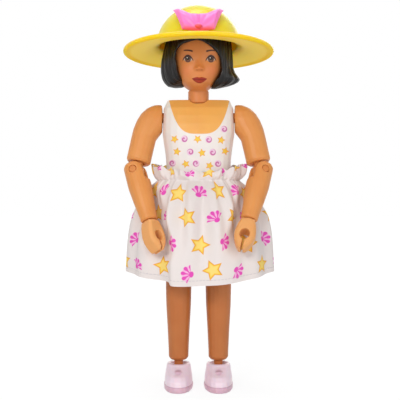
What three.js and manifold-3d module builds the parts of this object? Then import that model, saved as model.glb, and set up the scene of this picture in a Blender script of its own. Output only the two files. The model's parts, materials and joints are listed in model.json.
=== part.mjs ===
// Articulated plastic doll in a sun hat and a gathered cloth skirt.
// Millimetres, +Z up. The doll faces -Y, its left side is +X, the floor is z = 0.
import * as THREE from 'three';
import { mergeVertices } from 'three/addons/utils/BufferGeometryUtils.js';
import Module from 'manifold-3d';

const wasm = await Module();
wasm.setup();

// fits
const GAP = 0.3; // open gap between faces that pass each other
const PIN_FIT = 0.12; // radial clearance of a pin in its hole
const SEAM = 0.1; // gap at the seam of the torso halves
const EDGE = 0.5; // chamfer on the end of a moulded piece

// legs
const ANKLE_Z = 10.2;
const SHIN_L = 31.3;
const THIGH_L = 26.5;
const KNEE_Z = ANKLE_Z + SHIN_L;
const HIP_Z = KNEE_Z + THIGH_L;
const HIP_X = 6.8;
const KNEE_X = 7.3;
const THIGH_HALF = 4;
const HIP_DISC_R = 5.4;
const HIP_AXLE_R = 1.5;
const SHIN_HALF = 4.7;
const SHIN_END_HALF = 3.65;
const ANKLE_PEG_R = 1.65;

// shoes
const SHOE_H = 8.9;
const SHOE_HALF = 5.4;
const SHOE_TOE = 12.4;
const SHOE_HEEL = 6.2;
const SOLE_H = 2.0;

// torso
const TORSO_H = 36;
const NECK_Z = HIP_Z + TORSO_H;
const SHOULDER_X = 13;
const SHOULDER_DROP = 5.3;
const SHOULDER_Z = NECK_Z - SHOULDER_DROP;
const CHEST_DEPTH = 9.4;
const TORSO_WALL = 1.7;
const BODY_PIN_R = 1.9;
const BODY_PIN_FLANGE_R = 2.7;
const BODY_PIN_FLANGE_H = 1.3;
const BODY_PIN_REACH = 5.6; // length of a shoulder pin or neck pin beyond the torso

// arms
const ARM_SWING = THREE.MathUtils.degToRad(16); // forward swing at rest
const ARM_LEAN = THREE.MathUtils.degToRad(11.3); // outward lean of the upper arm
const ELBOW_OUT = 9.5; // elbow pin, outward of the shoulder face
const ELBOW_DROP = 20.9; // elbow pin, below the shoulder pin
const FOREARM_L = 19.8;
const FOREARM_HALF = 4.15;
const WRIST_HALF = 3.05;
const WRIST_PEG_R = 1.5;
const WRIST_PEG_L = 5.6;
const ARM_POSE = {
  right: { turn: 17, bend: 28, wrist: 62 },
  left: { turn: 25, bend: 28, wrist: -28 },
};

// hands
const HAND_L = 11.6;
const HAND_W = 7.4;
const HAND_T = 5.6;
const GRIP_R = 1.7;
const GRIP_SLIT = 0.7;
const HAND_ROUND = 0.9; // rounding of the hand's long edges

// hinge of an elbow or a knee
const ELBOW = { rim: 3.5, cheek: 3.2, shelf: 4.4, pin: 1.35, tongue: 2.6, half: FOREARM_HALF };
const KNEE = { rim: 3.8, cheek: 3.5, shelf: 4.9, pin: 1.5, tongue: 3, half: SHIN_HALF };
const STEM_R = 1.9;
const STEM_BEAD_R = 2.3;
const STEM_L = 6;
const KNUCKLE_NECK = STEM_R - 0.4; // half width of the neck between tongue and stem

// head
const NECK_R = 3.8;
const CHIN_RISE = 4.1; // chin above the neck's lower end
const HEAD_HALF = 11;
const HEAD_H = 28.4; // chin to the top of the skull
const NOSE_OUT = 1.5;
const EYE_X = 4.3;
// heights on the face over HEAD_H, from the chin
const FACE_LEVELS = { chin: 0.02, lips: 0.125, nose: 0.262, eyes: 0.385, bridge: 0.44 };

// hat
const BRIM_W = 12;
const BRIM_RISE = 1.4; // crown's centre above the brim edge
const HAT_WALL = 1.3;
const HAT_CLEAR = 0.82; // inside of the crown above the top of the hair
const HAIR_TOP_RATIO = 1.045; // top of the hair over HEAD_H, from the chin
const CROWN_R = 1.3 * HEAD_HALF + HAT_WALL; // the crown goes over the hair
const BRIM_R = CROWN_R + BRIM_W;
// brim edge above the neck's lower end
const BRIM_Z = CHIN_RISE + HAIR_TOP_RATIO * HEAD_H + HAT_CLEAR - (BRIM_RISE + CROWN_R - HAT_WALL);
const HAT_TILT = THREE.MathUtils.degToRad(3.6);
const HAT_PEG_R = 1.5;
const HAT_PEG_L = 4.6;
const LIP_R = 0.85;

// bow
const BOW_HALF = 7;
const BOW_TOP = { middle: 1.7, wing: 4.9 }; // upper edge above the bow's centre
const BOW_LOW = { middle: 5.5, wing: 4.7 }; // lower edge below it, straight as seen from the front
const BOW_HUG = 0.6; // share of the crown's curve that the wings follow
const BOW_T = 1.7;
const BOW_ANGLE = THREE.MathUtils.degToRad(29); // height of the bow on the crown
const BOW_PEG_R = 0.8;
const BOW_SHEAR = 0.28; // outward lean of the wing ends

// skirt
const WAIST_RISE = 9.6; // waist gather above the hip axle
const RUFFLE_RISE = 13.2;
const CLOTH_T = 0.8;
const CLOTH_CLEAR = 1.3; // between the cloth and an arm that rests near it
const WAIST_EASE = 2.1; // cloth outside the torso at the gather
const ELASTIC_T = 0.7;
const ELASTIC_H = 2.4;
const HEM_HALF = 26.95;
const HEM_SWAY = 0.45; // the hem hangs a little to the doll's left
const HEM_DEPTH = 18.8;
const HEM_Z = { front: 38.9, side: 43, back: 47.2 };
const FOLDS = 11;
const FOLD_DEPTH = 0.07;

// facets
const ROUND = 12;
const LIMB = 18;
const BODY = 24;
const FACE = 26;
const SKULL = 16;
const HAIR = 36;
const HAT = 32;
const CLOTH = 54;
const BOW_FACETS = 12;
const WELD = 1e-4;

// boxiness of the level sections, 2 is an ellipse
const POWER = { torso: 2.5, arm: 2.2, head: 2.15, shoe: 2.3 };

const SIDES = { right: -1, left: 1 };

const COLOURS = {
  skin: { color: 0xdd9457, roughness: 0.45 },
  face: { color: 0xcd8450, roughness: 0.45 },
  hair: { color: 0x1d1a1c, roughness: 0.5 },
  hat: { color: 0xffe032, roughness: 0.25 },
  bow: { color: 0xf877cb, roughness: 0.35 },
  white: { color: 0xf4f0f0, roughness: 0.5 },
  cloth: { color: 0xf6f2f3, roughness: 0.9 },
  shoe: { color: 0xf1cfdd, roughness: 0.4 },
  pin: { color: 0xd88f52, roughness: 0.45 },
  inner: { color: 0xe9e4df, roughness: 0.6 },
};

// Turns a geometry into a closed solid that faces out.
function solid(geometry) {
  geometry.deleteAttribute('normal');
  geometry.deleteAttribute('uv');
  const welded = mergeVertices(geometry, WELD);
  const points = welded.attributes.position;
  const corners = [];
  let volume = 0;
  const [a, b, c] = [new THREE.Vector3(), new THREE.Vector3(), new THREE.Vector3()];
  for (let i = 0; i < welded.index.count; i += 3) {
    const tri = [0, 1, 2].map((k) => welded.index.getX(i + k));
    if (new Set(tri).size < 3) continue;
    corners.push(tri);
    a.fromBufferAttribute(points, tri[0]);
    b.fromBufferAttribute(points, tri[1]);
    c.fromBufferAttribute(points, tri[2]);
    volume += a.dot(b.cross(c));
  }
  const facing = volume < 0 ? corners.map(([i, j, k]) => [i, k, j]) : corners;
  return new wasm.Manifold(new wasm.Mesh({
    numProp: 3,
    vertProperties: new Float32Array(points.array),
    triVerts: new Uint32Array(facing.flat()),
  }));
}

function part(name, body, colour) {
  const data = body.getMesh();
  const geometry = new THREE.BufferGeometry();
  geometry.setAttribute('position', new THREE.BufferAttribute(new Float32Array(data.vertProperties), 3));
  geometry.setIndex(new THREE.BufferAttribute(new Uint32Array(data.triVerts), 1));
  geometry.computeVertexNormals();
  const material = new THREE.MeshStandardMaterial({ metalness: 0, ...COLOURS[colour] });
  const mesh = new THREE.Mesh(geometry, material);
  mesh.name = name;
  return mesh;
}

function box(x0, x1, y0, y1, z0, z1) {
  const geometry = new THREE.BoxGeometry(x1 - x0, y1 - y0, z1 - z0);
  return geometry.translate((x0 + x1) / 2, (y0 + y1) / 2, (z0 + z1) / 2);
}

// Round bar along one axis, between two places on it.
function rod(axis, radius, from, to, sides = ROUND) {
  const geometry = new THREE.CylinderGeometry(radius, radius, to - from, sides);
  geometry.translate(0, (from + to) / 2, 0);
  if (axis === 'z') geometry.rotateX(Math.PI / 2);
  if (axis === 'x') geometry.rotateZ(-Math.PI / 2);
  return geometry;
}

// Turned form about Z from [radius, z] pairs that start and end on the axis.
function turned(profile, sides = ROUND) {
  const points = profile.map(([r, z]) => new THREE.Vector2(r, z));
  return new THREE.LatheGeometry(points, sides).rotateX(Math.PI / 2);
}

// Smooth value between the rows of a section list, at height z.
function between(rows, key, z) {
  const last = rows.length - 1;
  const slope = (i) => {
    const [low, high] = [rows[Math.max(i - 1, 0)], rows[Math.min(i + 1, last)]];
    return (high[key] - low[key]) / (high.z - low.z);
  };
  let i = 0;
  while (i < last - 1 && z > rows[i + 1].z) i += 1;
  const span = rows[i + 1].z - rows[i].z;
  const t = THREE.MathUtils.clamp((z - rows[i].z) / span, 0, 1);
  const [t2, t3] = [t * t, t * t * t];
  return (2 * t3 - 3 * t2 + 1) * rows[i][key] + (t3 - 2 * t2 + t) * span * slope(i)
    + (3 * t2 - 2 * t3) * rows[i + 1][key] + (t3 - t2) * span * slope(i + 1);
}

// Closed level ring; the four reaches may differ, a higher power is boxier.
function ring(z, reach, count, power = 2) {
  const points = [];
  for (let i = 0; i < count; i += 1) {
    const angle = (2 * Math.PI * i) / count;
    const [c, s] = [Math.cos(angle), Math.sin(angle)];
    const x = Math.sign(c) * Math.abs(c) ** (2 / power) * (c < 0 ? reach.left : reach.right);
    const y = Math.sign(s) * Math.abs(s) ** (2 / power) * (s < 0 ? reach.front : reach.back);
    points.push(new THREE.Vector3(x + (reach.x ?? 0), y, z));
  }
  return points;
}

// Skin over a stack of rings, closed by a fan at each end.
function loft(rings) {
  const count = rings[0].length;
  const points = rings.flat();
  const faces = [];
  for (let i = 0; i + 1 < rings.length; i += 1) {
    for (let j = 0; j < count; j += 1) {
      const k = (j + 1) % count;
      const [a, b, c, d] = [i * count + j, i * count + k, (i + 1) * count + j, (i + 1) * count + k];
      faces.push(a, b, d, a, d, c);
    }
  }
  for (const [end, flip] of [[0, true], [rings.length - 1, false]]) {
    const middle = new THREE.Vector3();
    rings[end].forEach((p) => middle.addScaledVector(p, 1 / count));
    points.push(middle);
    for (let j = 0; j < count; j += 1) {
      const [a, b] = [end * count + j, end * count + ((j + 1) % count)];
      faces.push(points.length - 1, ...(flip ? [b, a] : [a, b]));
    }
  }
  return new THREE.BufferGeometry().setFromPoints(points).setIndex(faces);
}

// Tube-like skin between an outer and an inner stack of rings, open through the middle.
function sleeve(outer, inner) {
  const count = outer[0].length;
  const loop = [...outer, ...[...inner].reverse()];
  const faces = [];
  for (let i = 0; i < loop.length; i += 1) {
    const next = (i + 1) % loop.length;
    for (let j = 0; j < count; j += 1) {
      const k = (j + 1) % count;
      const [a, b, c, d] = [i * count + j, i * count + k, next * count + j, next * count + k];
      faces.push(a, b, d, a, d, c);
    }
  }
  return new THREE.BufferGeometry().setFromPoints(loop.flat()).setIndex(faces);
}

// Ring reaches that are the same on both sides and in front and behind.
function even(halfX, halfY, x = 0) {
  return { left: halfX, right: halfX, front: halfY, back: halfY, x };
}

function limb(rows, count = LIMB) {
  return loft(rows.map(([z, halfX, halfY, x]) => ring(z, even(halfX, halfY, x), count)));
}

// Torso sections: height over TORSO_H from the hip axle, reaches over the driving sizes.
const TORSO_SECTIONS = [
  { z: -0.153, half: 0.69, front: 0.45, back: 0.53 },
  { z: -0.083, half: 0.88, front: 0.66, back: 0.77 },
  { z: 0, half: 0.93, front: 0.77, back: 0.89 },
  { z: 0.139, half: 0.94, front: 0.82, back: 0.87 },
  { z: 0.29, half: 0.91, front: 0.78, back: 0.77 },
  { z: 0.444, half: 0.925, front: 0.83, back: 0.745 },
  { z: 0.569, half: 0.97, front: 0.94, back: 0.745 },
  { z: 0.681, half: 1.015, front: 1, back: 0.765 },
  { z: 0.778, half: 1.015, front: 0.92, back: 0.765 },
  { z: 0.875, half: 1, front: 0.77, back: 0.735 },
  { z: 0.953, half: 0.985, front: 0.59, back: 0.67 },
  { z: 1, half: 0.95, front: 0.45, back: 0.61 },
  { z: 1.033, half: 0.88, front: 0.26, back: 0.5 },
];

function torsoRing(level, inset, count = BODY) {
  const half = between(TORSO_SECTIONS, 'half', level) * SHOULDER_X - inset;
  const front = between(TORSO_SECTIONS, 'front', level) * CHEST_DEPTH - inset;
  const back = between(TORSO_SECTIONS, 'back', level) * CHEST_DEPTH - inset;
  return ring(HIP_Z + level * TORSO_H, { left: half, right: half, front, back }, count, POWER.torso);
}

function torsoLoft(from, to, steps, inset) {
  const rings = [];
  for (let i = 0; i <= steps; i += 1) rings.push(torsoRing(from + ((to - from) * i) / steps, inset));
  return loft(rings);
}

const FAR = 60; // beyond everything that a cutting block has to clear
const NECK_SEAT_Z = NECK_Z - GAP;
const CAVITY_LOW = (HIP_DISC_R + GAP + TORSO_WALL) / TORSO_H;
const CAVITY_HIGH = (NECK_SEAT_Z - TORSO_WALL - HIP_Z) / TORSO_H;
const WEB_HALF = HIP_X - THIGH_HALF - GAP;

function torsoBody() {
  const recess = HIP_DISC_R + GAP;
  let body = solid(torsoLoft(TORSO_SECTIONS[0].z, TORSO_SECTIONS.at(-1).z, 14, 0));
  body = body.subtract(solid(torsoLoft(CAVITY_LOW, CAVITY_HIGH, 7, TORSO_WALL)));
  for (const side of Object.values(SIDES)) {
    const span = [side * WEB_HALF, side * FAR].sort((p, q) => p - q);
    const disc = rod('x', recess, ...span, LIMB).translate(0, 0, HIP_Z);
    const swing = box(...span, -FAR, 0, -FAR, HIP_Z + HIP_DISC_R);
    const below = box(...span, -FAR, FAR, -FAR, HIP_Z);
    const flank = [side * SHOULDER_X, side * FAR].sort((p, q) => p - q);
    const face = box(...flank, -FAR, FAR, SHOULDER_Z - HIP_DISC_R, SHOULDER_Z + FAR);
    const hole = rod('x', BODY_PIN_R + PIN_FIT, ...[0, side * FAR].sort((p, q) => p - q));
    const inside = side * (SHOULDER_X - TORSO_WALL);
    const pocket = rod('x', BODY_PIN_FLANGE_R + GAP, ...[0.6 * inside, inside].sort((p, q) => p - q));
    hole.translate(0, 0, SHOULDER_Z);
    pocket.translate(0, 0, SHOULDER_Z);
    for (const cut of [disc, swing, below, face, hole, pocket]) body = body.subtract(solid(cut));
  }
  body = body.subtract(solid(rod('z', NECK_R + GAP, NECK_SEAT_Z, NECK_Z + FAR, LIMB)));
  body = body.subtract(solid(rod('z', BODY_PIN_R + PIN_FIT, NECK_SEAT_Z - 2 * TORSO_WALL, NECK_Z + FAR)));
  const ceiling = NECK_SEAT_Z - TORSO_WALL;
  body = body.subtract(solid(rod('z', BODY_PIN_FLANGE_R + GAP, ceiling - 3 * TORSO_WALL, ceiling)));
  const axle = rod('x', HIP_AXLE_R + PIN_FIT, -FAR, FAR).translate(0, 0, HIP_Z);
  return body.subtract(solid(axle));
}

// Mushroom pin along +Z: its flange lies inside the torso, z = 0 is the torso's outer face.
function bodyPin(wall) {
  const low = -wall - GAP;
  return turned([
    [0, low - BODY_PIN_FLANGE_H], [BODY_PIN_FLANGE_R, low - BODY_PIN_FLANGE_H],
    [BODY_PIN_FLANGE_R, low], [BODY_PIN_R, low], [BODY_PIN_R, BODY_PIN_REACH - EDGE],
    [BODY_PIN_R - EDGE, BODY_PIN_REACH], [0, BODY_PIN_REACH],
  ]);
}

function pinHole(depth) {
  return rod('z', BODY_PIN_R + PIN_FIT, -FAR, depth + GAP);
}

function torsoParts() {
  const body = torsoBody();
  const front = body.subtract(solid(box(-FAR, FAR, -SEAM / 2, FAR, -FAR, 3 * FAR)));
  const back = body.subtract(solid(box(-FAR, FAR, -FAR, SEAM / 2, -FAR, 3 * FAR)));
  const neckPin = part('neck_pin', solid(bodyPin(TORSO_WALL)), 'inner');
  neckPin.position.z = NECK_SEAT_Z;
  const reach = HIP_X + THIGH_HALF / 2;
  const axle = part('hip_axle', solid(rod('x', HIP_AXLE_R, -reach, reach)), 'inner');
  axle.position.z = HIP_Z;
  return [part('torso_front', front, 'white'), part('torso_back', back, 'white'), neckPin, axle];
}

// Rising stem of a swivel, seen from the hinge pin; grow > 0 gives its socket.
function stem(rim, grow) {
  const base = rim - GAP - grow;
  return turned([
    [0, base], [STEM_R + grow, base], [STEM_R + grow, rim + 0.45 * STEM_L - grow],
    [STEM_BEAD_R + grow, rim + 0.6 * STEM_L - grow], [STEM_BEAD_R + grow, rim + 0.75 * STEM_L + grow],
    [STEM_R - EDGE + grow, rim + STEM_L + grow], [0, rim + STEM_L + grow],
  ]);
}

// Swivel piece of an elbow or knee: tongue round the pin, neck and stem. Origin on the pin.
function knuckle(hinge) {
  const radius = hinge.cheek - GAP;
  const thick = hinge.tongue / 2;
  return solid(rod('y', radius, -thick, thick, LIMB))
    .add(solid(box(-KNUCKLE_NECK, KNUCKLE_NECK, -thick, thick, 0, hinge.rim)))
    .add(solid(stem(hinge.rim, 0)))
    .subtract(solid(rod('y', hinge.pin + PIN_FIT, -FAR, FAR)));
}

// Block with an outline of [x, z] pairs, sawn through along Y.
function sawn(outline, half) {
  const shape = new THREE.Shape(outline.map(([x, z]) => new THREE.Vector2(x, z)));
  const block = new THREE.ExtrudeGeometry(shape, { depth: 2 * half, bevelEnabled: false });
  return block.translate(0, 0, -half).rotateX(Math.PI / 2);
}

function arcPoints(radius, from, to, steps) {
  const points = [];
  for (let i = 0; i <= steps; i += 1) {
    const angle = THREE.MathUtils.degToRad(from + ((to - from) * i) / steps);
    points.push([radius * Math.cos(angle), radius * Math.sin(angle)]);
  }
  return points;
}

// Cuts the fork into a limb's upper end: it bends towards +X about the pin along Y.
function forked(body, hinge) {
  const { cheek, shelf } = hinge;
  const arc = arcPoints(cheek, 80, 0, 6);
  const relief = [[cheek, -shelf], [FAR, -shelf], [FAR, FAR], [arc[0][0], FAR], ...arc];
  const neck = KNUCKLE_NECK + GAP;
  const start = 180 - THREE.MathUtils.radToDeg(Math.acos(neck / cheek));
  const slot = [[-neck, FAR], ...arcPoints(cheek, start, 270, 10), [FAR, -cheek], [FAR, FAR]];
  return body.subtract(solid(sawn(relief, FAR)))
    .subtract(solid(sawn(slot, hinge.tongue / 2 + GAP / 2)))
    .subtract(solid(rod('y', hinge.pin + PIN_FIT, -FAR, FAR)));
}

function hingePin(name, hinge) {
  const reach = hinge.half - GAP;
  return part(name, solid(rod('y', hinge.pin, -reach, reach)), 'pin');
}

// Upper arm sections below the shoulder pin: inner and outer reach from the shoulder face.
const UPPER_ARM_SECTIONS = [
  { z: -1.01, inner: 0.51, outer: 1.46, deep: 0.46 },
  { z: -0.824, inner: 0.45, outer: 1.4, deep: 0.465 },
  { z: -0.579, inner: 0.34, outer: 1.3, deep: 0.475 },
  { z: -0.361, inner: 0.23, outer: 1.21, deep: 0.49 },
  { z: -0.287, inner: 0.13, outer: 1.18, deep: 0.5 },
  { z: -0.213, inner: -0.04, outer: 1.14, deep: 0.51 },
  { z: -0.12, inner: -0.13, outer: 1.07, deep: 0.515 },
  { z: 0, inner: -0.15, outer: 0.94, deep: 0.505 },
  { z: 0.102, inner: -0.13, outer: 0.77, deep: 0.455 },
  { z: 0.18, inner: -0.09, outer: 0.53, deep: 0.34 },
  { z: 0.208, inner: 0, outer: 0.34, deep: 0.21 },
];

function upperArm(side, elbowFrame) {
  const rings = [];
  const [low, high] = [UPPER_ARM_SECTIONS[0].z, UPPER_ARM_SECTIONS.at(-1).z];
  const steps = 9;
  for (let i = 0; i <= steps; i += 1) {
    const level = low + (high - low) * Math.sin((Math.PI / 2) * (i / steps));
    const inner = between(UPPER_ARM_SECTIONS, 'inner', level) * ELBOW_OUT;
    const outer = between(UPPER_ARM_SECTIONS, 'outer', level) * ELBOW_OUT;
    const deep = between(UPPER_ARM_SECTIONS, 'deep', level) * ELBOW_OUT;
    const reach = even((outer - inner) / 2, deep, (side * (outer + inner)) / 2);
    rings.push(ring(level * ELBOW_DROP, reach, LIMB, POWER.arm));
  }
  // square-cut lower rim with a chamfer, seen from the elbow pin
  const rimHalf = FOREARM_HALF - GAP;
  const rim = turned([
    [0, ELBOW.rim], [rimHalf, ELBOW.rim], [rimHalf + 2 * EDGE, ELBOW.rim + 2.6 * EDGE],
    [FAR, ELBOW.rim + ELBOW_DROP / 2], [FAR, FAR], [0, FAR],
  ], LIMB);
  const socket = stem(ELBOW.rim, PIN_FIT).applyMatrix4(elbowFrame);
  const shoulder = pinHole(BODY_PIN_REACH).rotateY((side * Math.PI) / 2);
  const face = box(...[-side * FAR, side * GAP].sort((p, q) => p - q), -FAR, FAR, -FAR, FAR);
  return solid(loft(rings))
    .intersect(solid(rim.applyMatrix4(elbowFrame)))
    .subtract(solid(face))
    .subtract(solid(socket))
    .subtract(solid(shoulder));
}

function forearm() {
  const half = FOREARM_HALF;
  const body = solid(limb([
    [-FOREARM_L, WRIST_HALF - EDGE, WRIST_HALF - EDGE], [-FOREARM_L + EDGE, WRIST_HALF, WRIST_HALF],
    [-FOREARM_L * 0.85, WRIST_HALF * 1.04, WRIST_HALF * 1.04], [-FOREARM_L * 0.6, half * 0.9, half * 0.9],
    [-FOREARM_L * 0.3, half * 1.02, half * 1.01], [-FOREARM_L * 0.05, half, half],
    [ELBOW.cheek - 2 * EDGE, half * 0.98, half * 0.98], [ELBOW.cheek, half - 1.4 * EDGE, half - 1.4 * EDGE],
  ]));
  const socket = rod('z', WRIST_PEG_R + PIN_FIT, -FAR, -FOREARM_L + WRIST_PEG_L + GAP);
  return forked(body, ELBOW).subtract(solid(socket));
}

// Gripping hand below the wrist rim, the grip hole runs along Y.
function hand() {
  const w = HAND_W / 2;
  const bevel = HAND_ROUND;
  const outline = [
    [-0.6, 0], [-0.84, -0.2], [-1, -0.48], [-0.86, -0.74], [-0.3, -1],
    [0.3, -1], [0.86, -0.74], [1, -0.48], [0.84, -0.2], [0.6, 0],
  ].map(([x, z]) => new THREE.Vector2(x * (w - bevel), z * (HAND_L - 2 * bevel) - GAP - bevel));
  const shape = new THREE.Shape(new THREE.SplineCurve(outline).getPoints(20));
  const block = new THREE.ExtrudeGeometry(shape, {
    depth: HAND_T - 2 * bevel, steps: 1, bevelEnabled: true, bevelThickness: bevel, bevelSize: bevel,
    bevelSegments: 1,
  });
  block.translate(0, 0, bevel - HAND_T / 2).rotateX(Math.PI / 2);
  const gripZ = -0.58 * HAND_L;
  const grip = rod('y', GRIP_R, -FAR, FAR, LIMB).scale(1, 1, 1.18).translate(0, 0, gripZ);
  const slit = box(-GRIP_SLIT / 2, GRIP_SLIT / 2, -FAR, FAR, -FAR, gripZ);
  const cuff = turned([
    [0, -0.3 * HAND_L], [0.55 * w, -0.3 * HAND_L], [WRIST_HALF - EDGE, -2.2 * GAP],
    [WRIST_HALF - EDGE, -GAP], [WRIST_PEG_R, -GAP], [WRIST_PEG_R, WRIST_PEG_L - EDGE],
    [WRIST_PEG_R - EDGE, WRIST_PEG_L], [0, WRIST_PEG_L],
  ]);
  return solid(block).add(solid(cuff)).subtract(solid(grip)).subtract(solid(slit));
}

function joint(name, parent, setUp) {
  const group = new THREE.Group();
  group.name = name;
  setUp(group);
  parent.add(group);
  return group;
}

function arm(side, name, root) {
  const pose = ARM_POSE[name];
  const radians = THREE.MathUtils.degToRad;
  const elbowFrame = new THREE.Matrix4().makeRotationY(-side * ARM_LEAN)
    .setPosition(side * ELBOW_OUT, 0, -ELBOW_DROP);
  const shoulder = joint(`${name}_shoulder`, root, (g) => {
    g.position.set(side * SHOULDER_X, 0, SHOULDER_Z);
    g.rotation.x = -ARM_SWING;
  });
  const pin = part(`${name}_shoulder_pin`, solid(bodyPin(TORSO_WALL).rotateY((side * Math.PI) / 2)), 'inner');
  shoulder.add(part(`${name}_upper_arm`, upperArm(side, elbowFrame), 'skin'), pin);
  const lean = joint(`${name}_lean`, shoulder, (g) => g.applyMatrix4(elbowFrame));
  const swivel = joint(`${name}_swivel`, lean, (g) => {
    g.rotation.z = side > 0 ? Math.PI + radians(pose.turn) : -radians(pose.turn);
  });
  swivel.add(part(`${name}_elbow_knuckle`, knuckle(ELBOW), 'skin'));
  const bend = joint(`${name}_bend`, swivel, (g) => {
    g.rotation.y = -radians(pose.bend);
  });
  bend.add(part(`${name}_forearm`, forearm(), 'skin'), hingePin(`${name}_elbow_pin`, ELBOW));
  const wrist = joint(`${name}_wrist`, bend, (g) => {
    g.position.z = -FOREARM_L;
    g.rotation.z = radians(pose.wrist);
  });
  wrist.add(part(`${name}_hand`, hand(), 'skin'));
  return { bend, wrist };
}

function thigh(side) {
  const w = THIGH_HALF;
  const low = -THIGH_L + KNEE.rim;
  const shift = side * (KNEE_X - HIP_X);
  const rimHalf = SHIN_HALF - 2 * GAP;
  const disc = turned([
    [0, -w], [HIP_DISC_R - EDGE, -w], [HIP_DISC_R, -w + EDGE],
    [HIP_DISC_R, w - EDGE], [HIP_DISC_R - EDGE, w], [0, w],
  ], LIMB).rotateY(Math.PI / 2);
  const shaft = limb([
    [low, rimHalf - EDGE, rimHalf - EDGE, shift], [low + 2 * EDGE, rimHalf, rimHalf * 1.05, shift],
    [low * 0.88, rimHalf, rimHalf * 1.07, shift * 0.9], [low * 0.55, w * 1.01, w * 1.2, shift * 0.4],
    [low * 0.25, w, HIP_DISC_R * 0.97, 0], [0, w * 0.98, HIP_DISC_R * 0.95, 0],
  ]);
  const socket = stem(KNEE.rim, PIN_FIT).translate(shift, 0, -THIGH_L);
  const bore = rod('x', HIP_AXLE_R + PIN_FIT, ...[-side * FAR, side * (w / 2 + GAP)].sort((p, q) => p - q));
  return solid(disc).add(solid(shaft)).subtract(solid(socket)).subtract(solid(bore));
}

// Shin seen from the knee pin: +X is its back, Y its width.
function shin() {
  const [top, end] = [SHIN_HALF, SHIN_END_HALF];
  const rows = [
    [-SHIN_L, end - 1.6 * EDGE, end - 1.6 * EDGE, 0],
    [-SHIN_L + 2 * EDGE, end, end, 0],
    [-SHIN_L * 0.9, end * 1.01, end * 1.01, 0],
    [-SHIN_L * 0.65, end * 1.15, end * 1.11, 0.02 * top],
    [-SHIN_L * 0.35, top * 1.03, top * 0.98, 0.04 * top],
    [-SHIN_L * 0.16, top * 1.02, top * 1.01, 0.02 * top],
    [-SHIN_L * 0.03, top * 0.98, top, 0],
    [KNEE.cheek - 2.4 * EDGE, top * 0.96, top * 0.98, 0],
    [KNEE.cheek, top - 1.6 * EDGE, top - 1.4 * EDGE, 0],
  ];
  const depth = ANKLE_Z - SHOE_H / 2;
  const peg = turned([
    [0, -SHIN_L - depth], [ANKLE_PEG_R - EDGE, -SHIN_L - depth], [ANKLE_PEG_R, -SHIN_L - depth + EDGE],
    [ANKLE_PEG_R, -SHIN_L + 2 * EDGE], [0, -SHIN_L + 2 * EDGE],
  ]);
  return forked(solid(limb(rows)), KNEE).add(solid(peg));
}

// Shoe above the floor, toe towards -Y, with a sole step and a front bow knot.
function shoe() {
  const sections = [
    [0, 0.93, 0.96, 0.95], [EDGE, 0.98, 1, 1], [SOLE_H - GAP, 1, 1, 1], [SOLE_H, 0.95, 0.965, 0.96],
    [0.42 * SHOE_H, 0.94, 0.95, 0.97], [0.6 * SHOE_H, 0.9, 0.84, 0.96], [0.75 * SHOE_H, 0.85, 0.64, 0.93],
    [0.9 * SHOE_H, 0.82, 0.46, 0.88], [SHOE_H - EDGE, 0.81, 0.42, 0.85], [SHOE_H, 0.76, 0.38, 0.79],
  ];
  const rings = sections.map(([z, half, toe, heel]) => ring(z, {
    left: half * SHOE_HALF, right: half * SHOE_HALF, front: toe * SHOE_TOE, back: heel * SHOE_HEEL,
  }, LIMB, POWER.shoe));
  const collar = new THREE.SphereGeometry(0.62 * SHOE_HALF, ROUND, 6).scale(1, 1, 0.45);
  collar.translate(0, 0, SHOE_H);
  const knot = new THREE.SphereGeometry(1, 12, 8).scale(1.5, 0.8, 0.9);
  knot.translate(0, -0.62 * SHOE_TOE, 0.72 * SHOE_H);
  const bore = rod('z', ANKLE_PEG_R + PIN_FIT, SHOE_H / 2 - GAP, FAR);
  return solid(loft(rings)).add(solid(knot)).subtract(solid(collar)).subtract(solid(bore));
}

function leg(side, name, root) {
  const hip = joint(`${name}_hip`, root, (g) => g.position.set(side * HIP_X, 0, HIP_Z));
  hip.add(part(`${name}_thigh`, thigh(side), 'skin'));
  const swivel = joint(`${name}_knee_swivel`, hip, (g) => {
    g.position.set(side * (KNEE_X - HIP_X), 0, -THIGH_L);
    g.rotation.z = Math.PI / 2;
  });
  swivel.add(part(`${name}_knee_knuckle`, knuckle(KNEE), 'skin'));
  const bend = joint(`${name}_knee`, swivel, () => {});
  bend.add(part(`${name}_shin`, shin(), 'skin'), hingePin(`${name}_knee_pin`, KNEE));
  const ankle = joint(`${name}_ankle`, bend, (g) => {
    g.position.z = -KNEE_Z;
    g.rotation.z = -Math.PI / 2;
  });
  ankle.add(part(`${name}_shoe`, shoe(), 'shoe'));
}

// Head sections above the neck's lower end: heights over HEAD_H from the chin, reaches over HEAD_HALF.
const HEAD_SECTIONS = [
  { z: -0.01, half: 0.3, front: 0.62, back: 0.38 },
  { z: 0.015, half: 0.38, front: 0.79, back: 0.42 },
  { z: 0.065, half: 0.5, front: 0.87, back: 0.52 },
  { z: 0.135, half: 0.645, front: 0.9, back: 0.67 },
  { z: 0.24, half: 0.8, front: 0.92, back: 0.83 },
  { z: 0.345, half: 0.91, front: 0.91, back: 0.95 },
  { z: 0.45, half: 0.98, front: 0.93, back: 1.02 },
  { z: 0.555, half: 1, front: 0.945, back: 1.05 },
  { z: 0.66, half: 0.98, front: 0.92, back: 1.03 },
  { z: 0.77, half: 0.91, front: 0.85, back: 0.955 },
  { z: 0.87, half: 0.76, front: 0.7, back: 0.8 },
  { z: 0.94, half: 0.56, front: 0.52, back: 0.59 },
  { z: 0.985, half: 0.3, front: 0.27, back: 0.31 },
  { z: 1, half: 0.1, front: 0.09, back: 0.1 },
];

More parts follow.
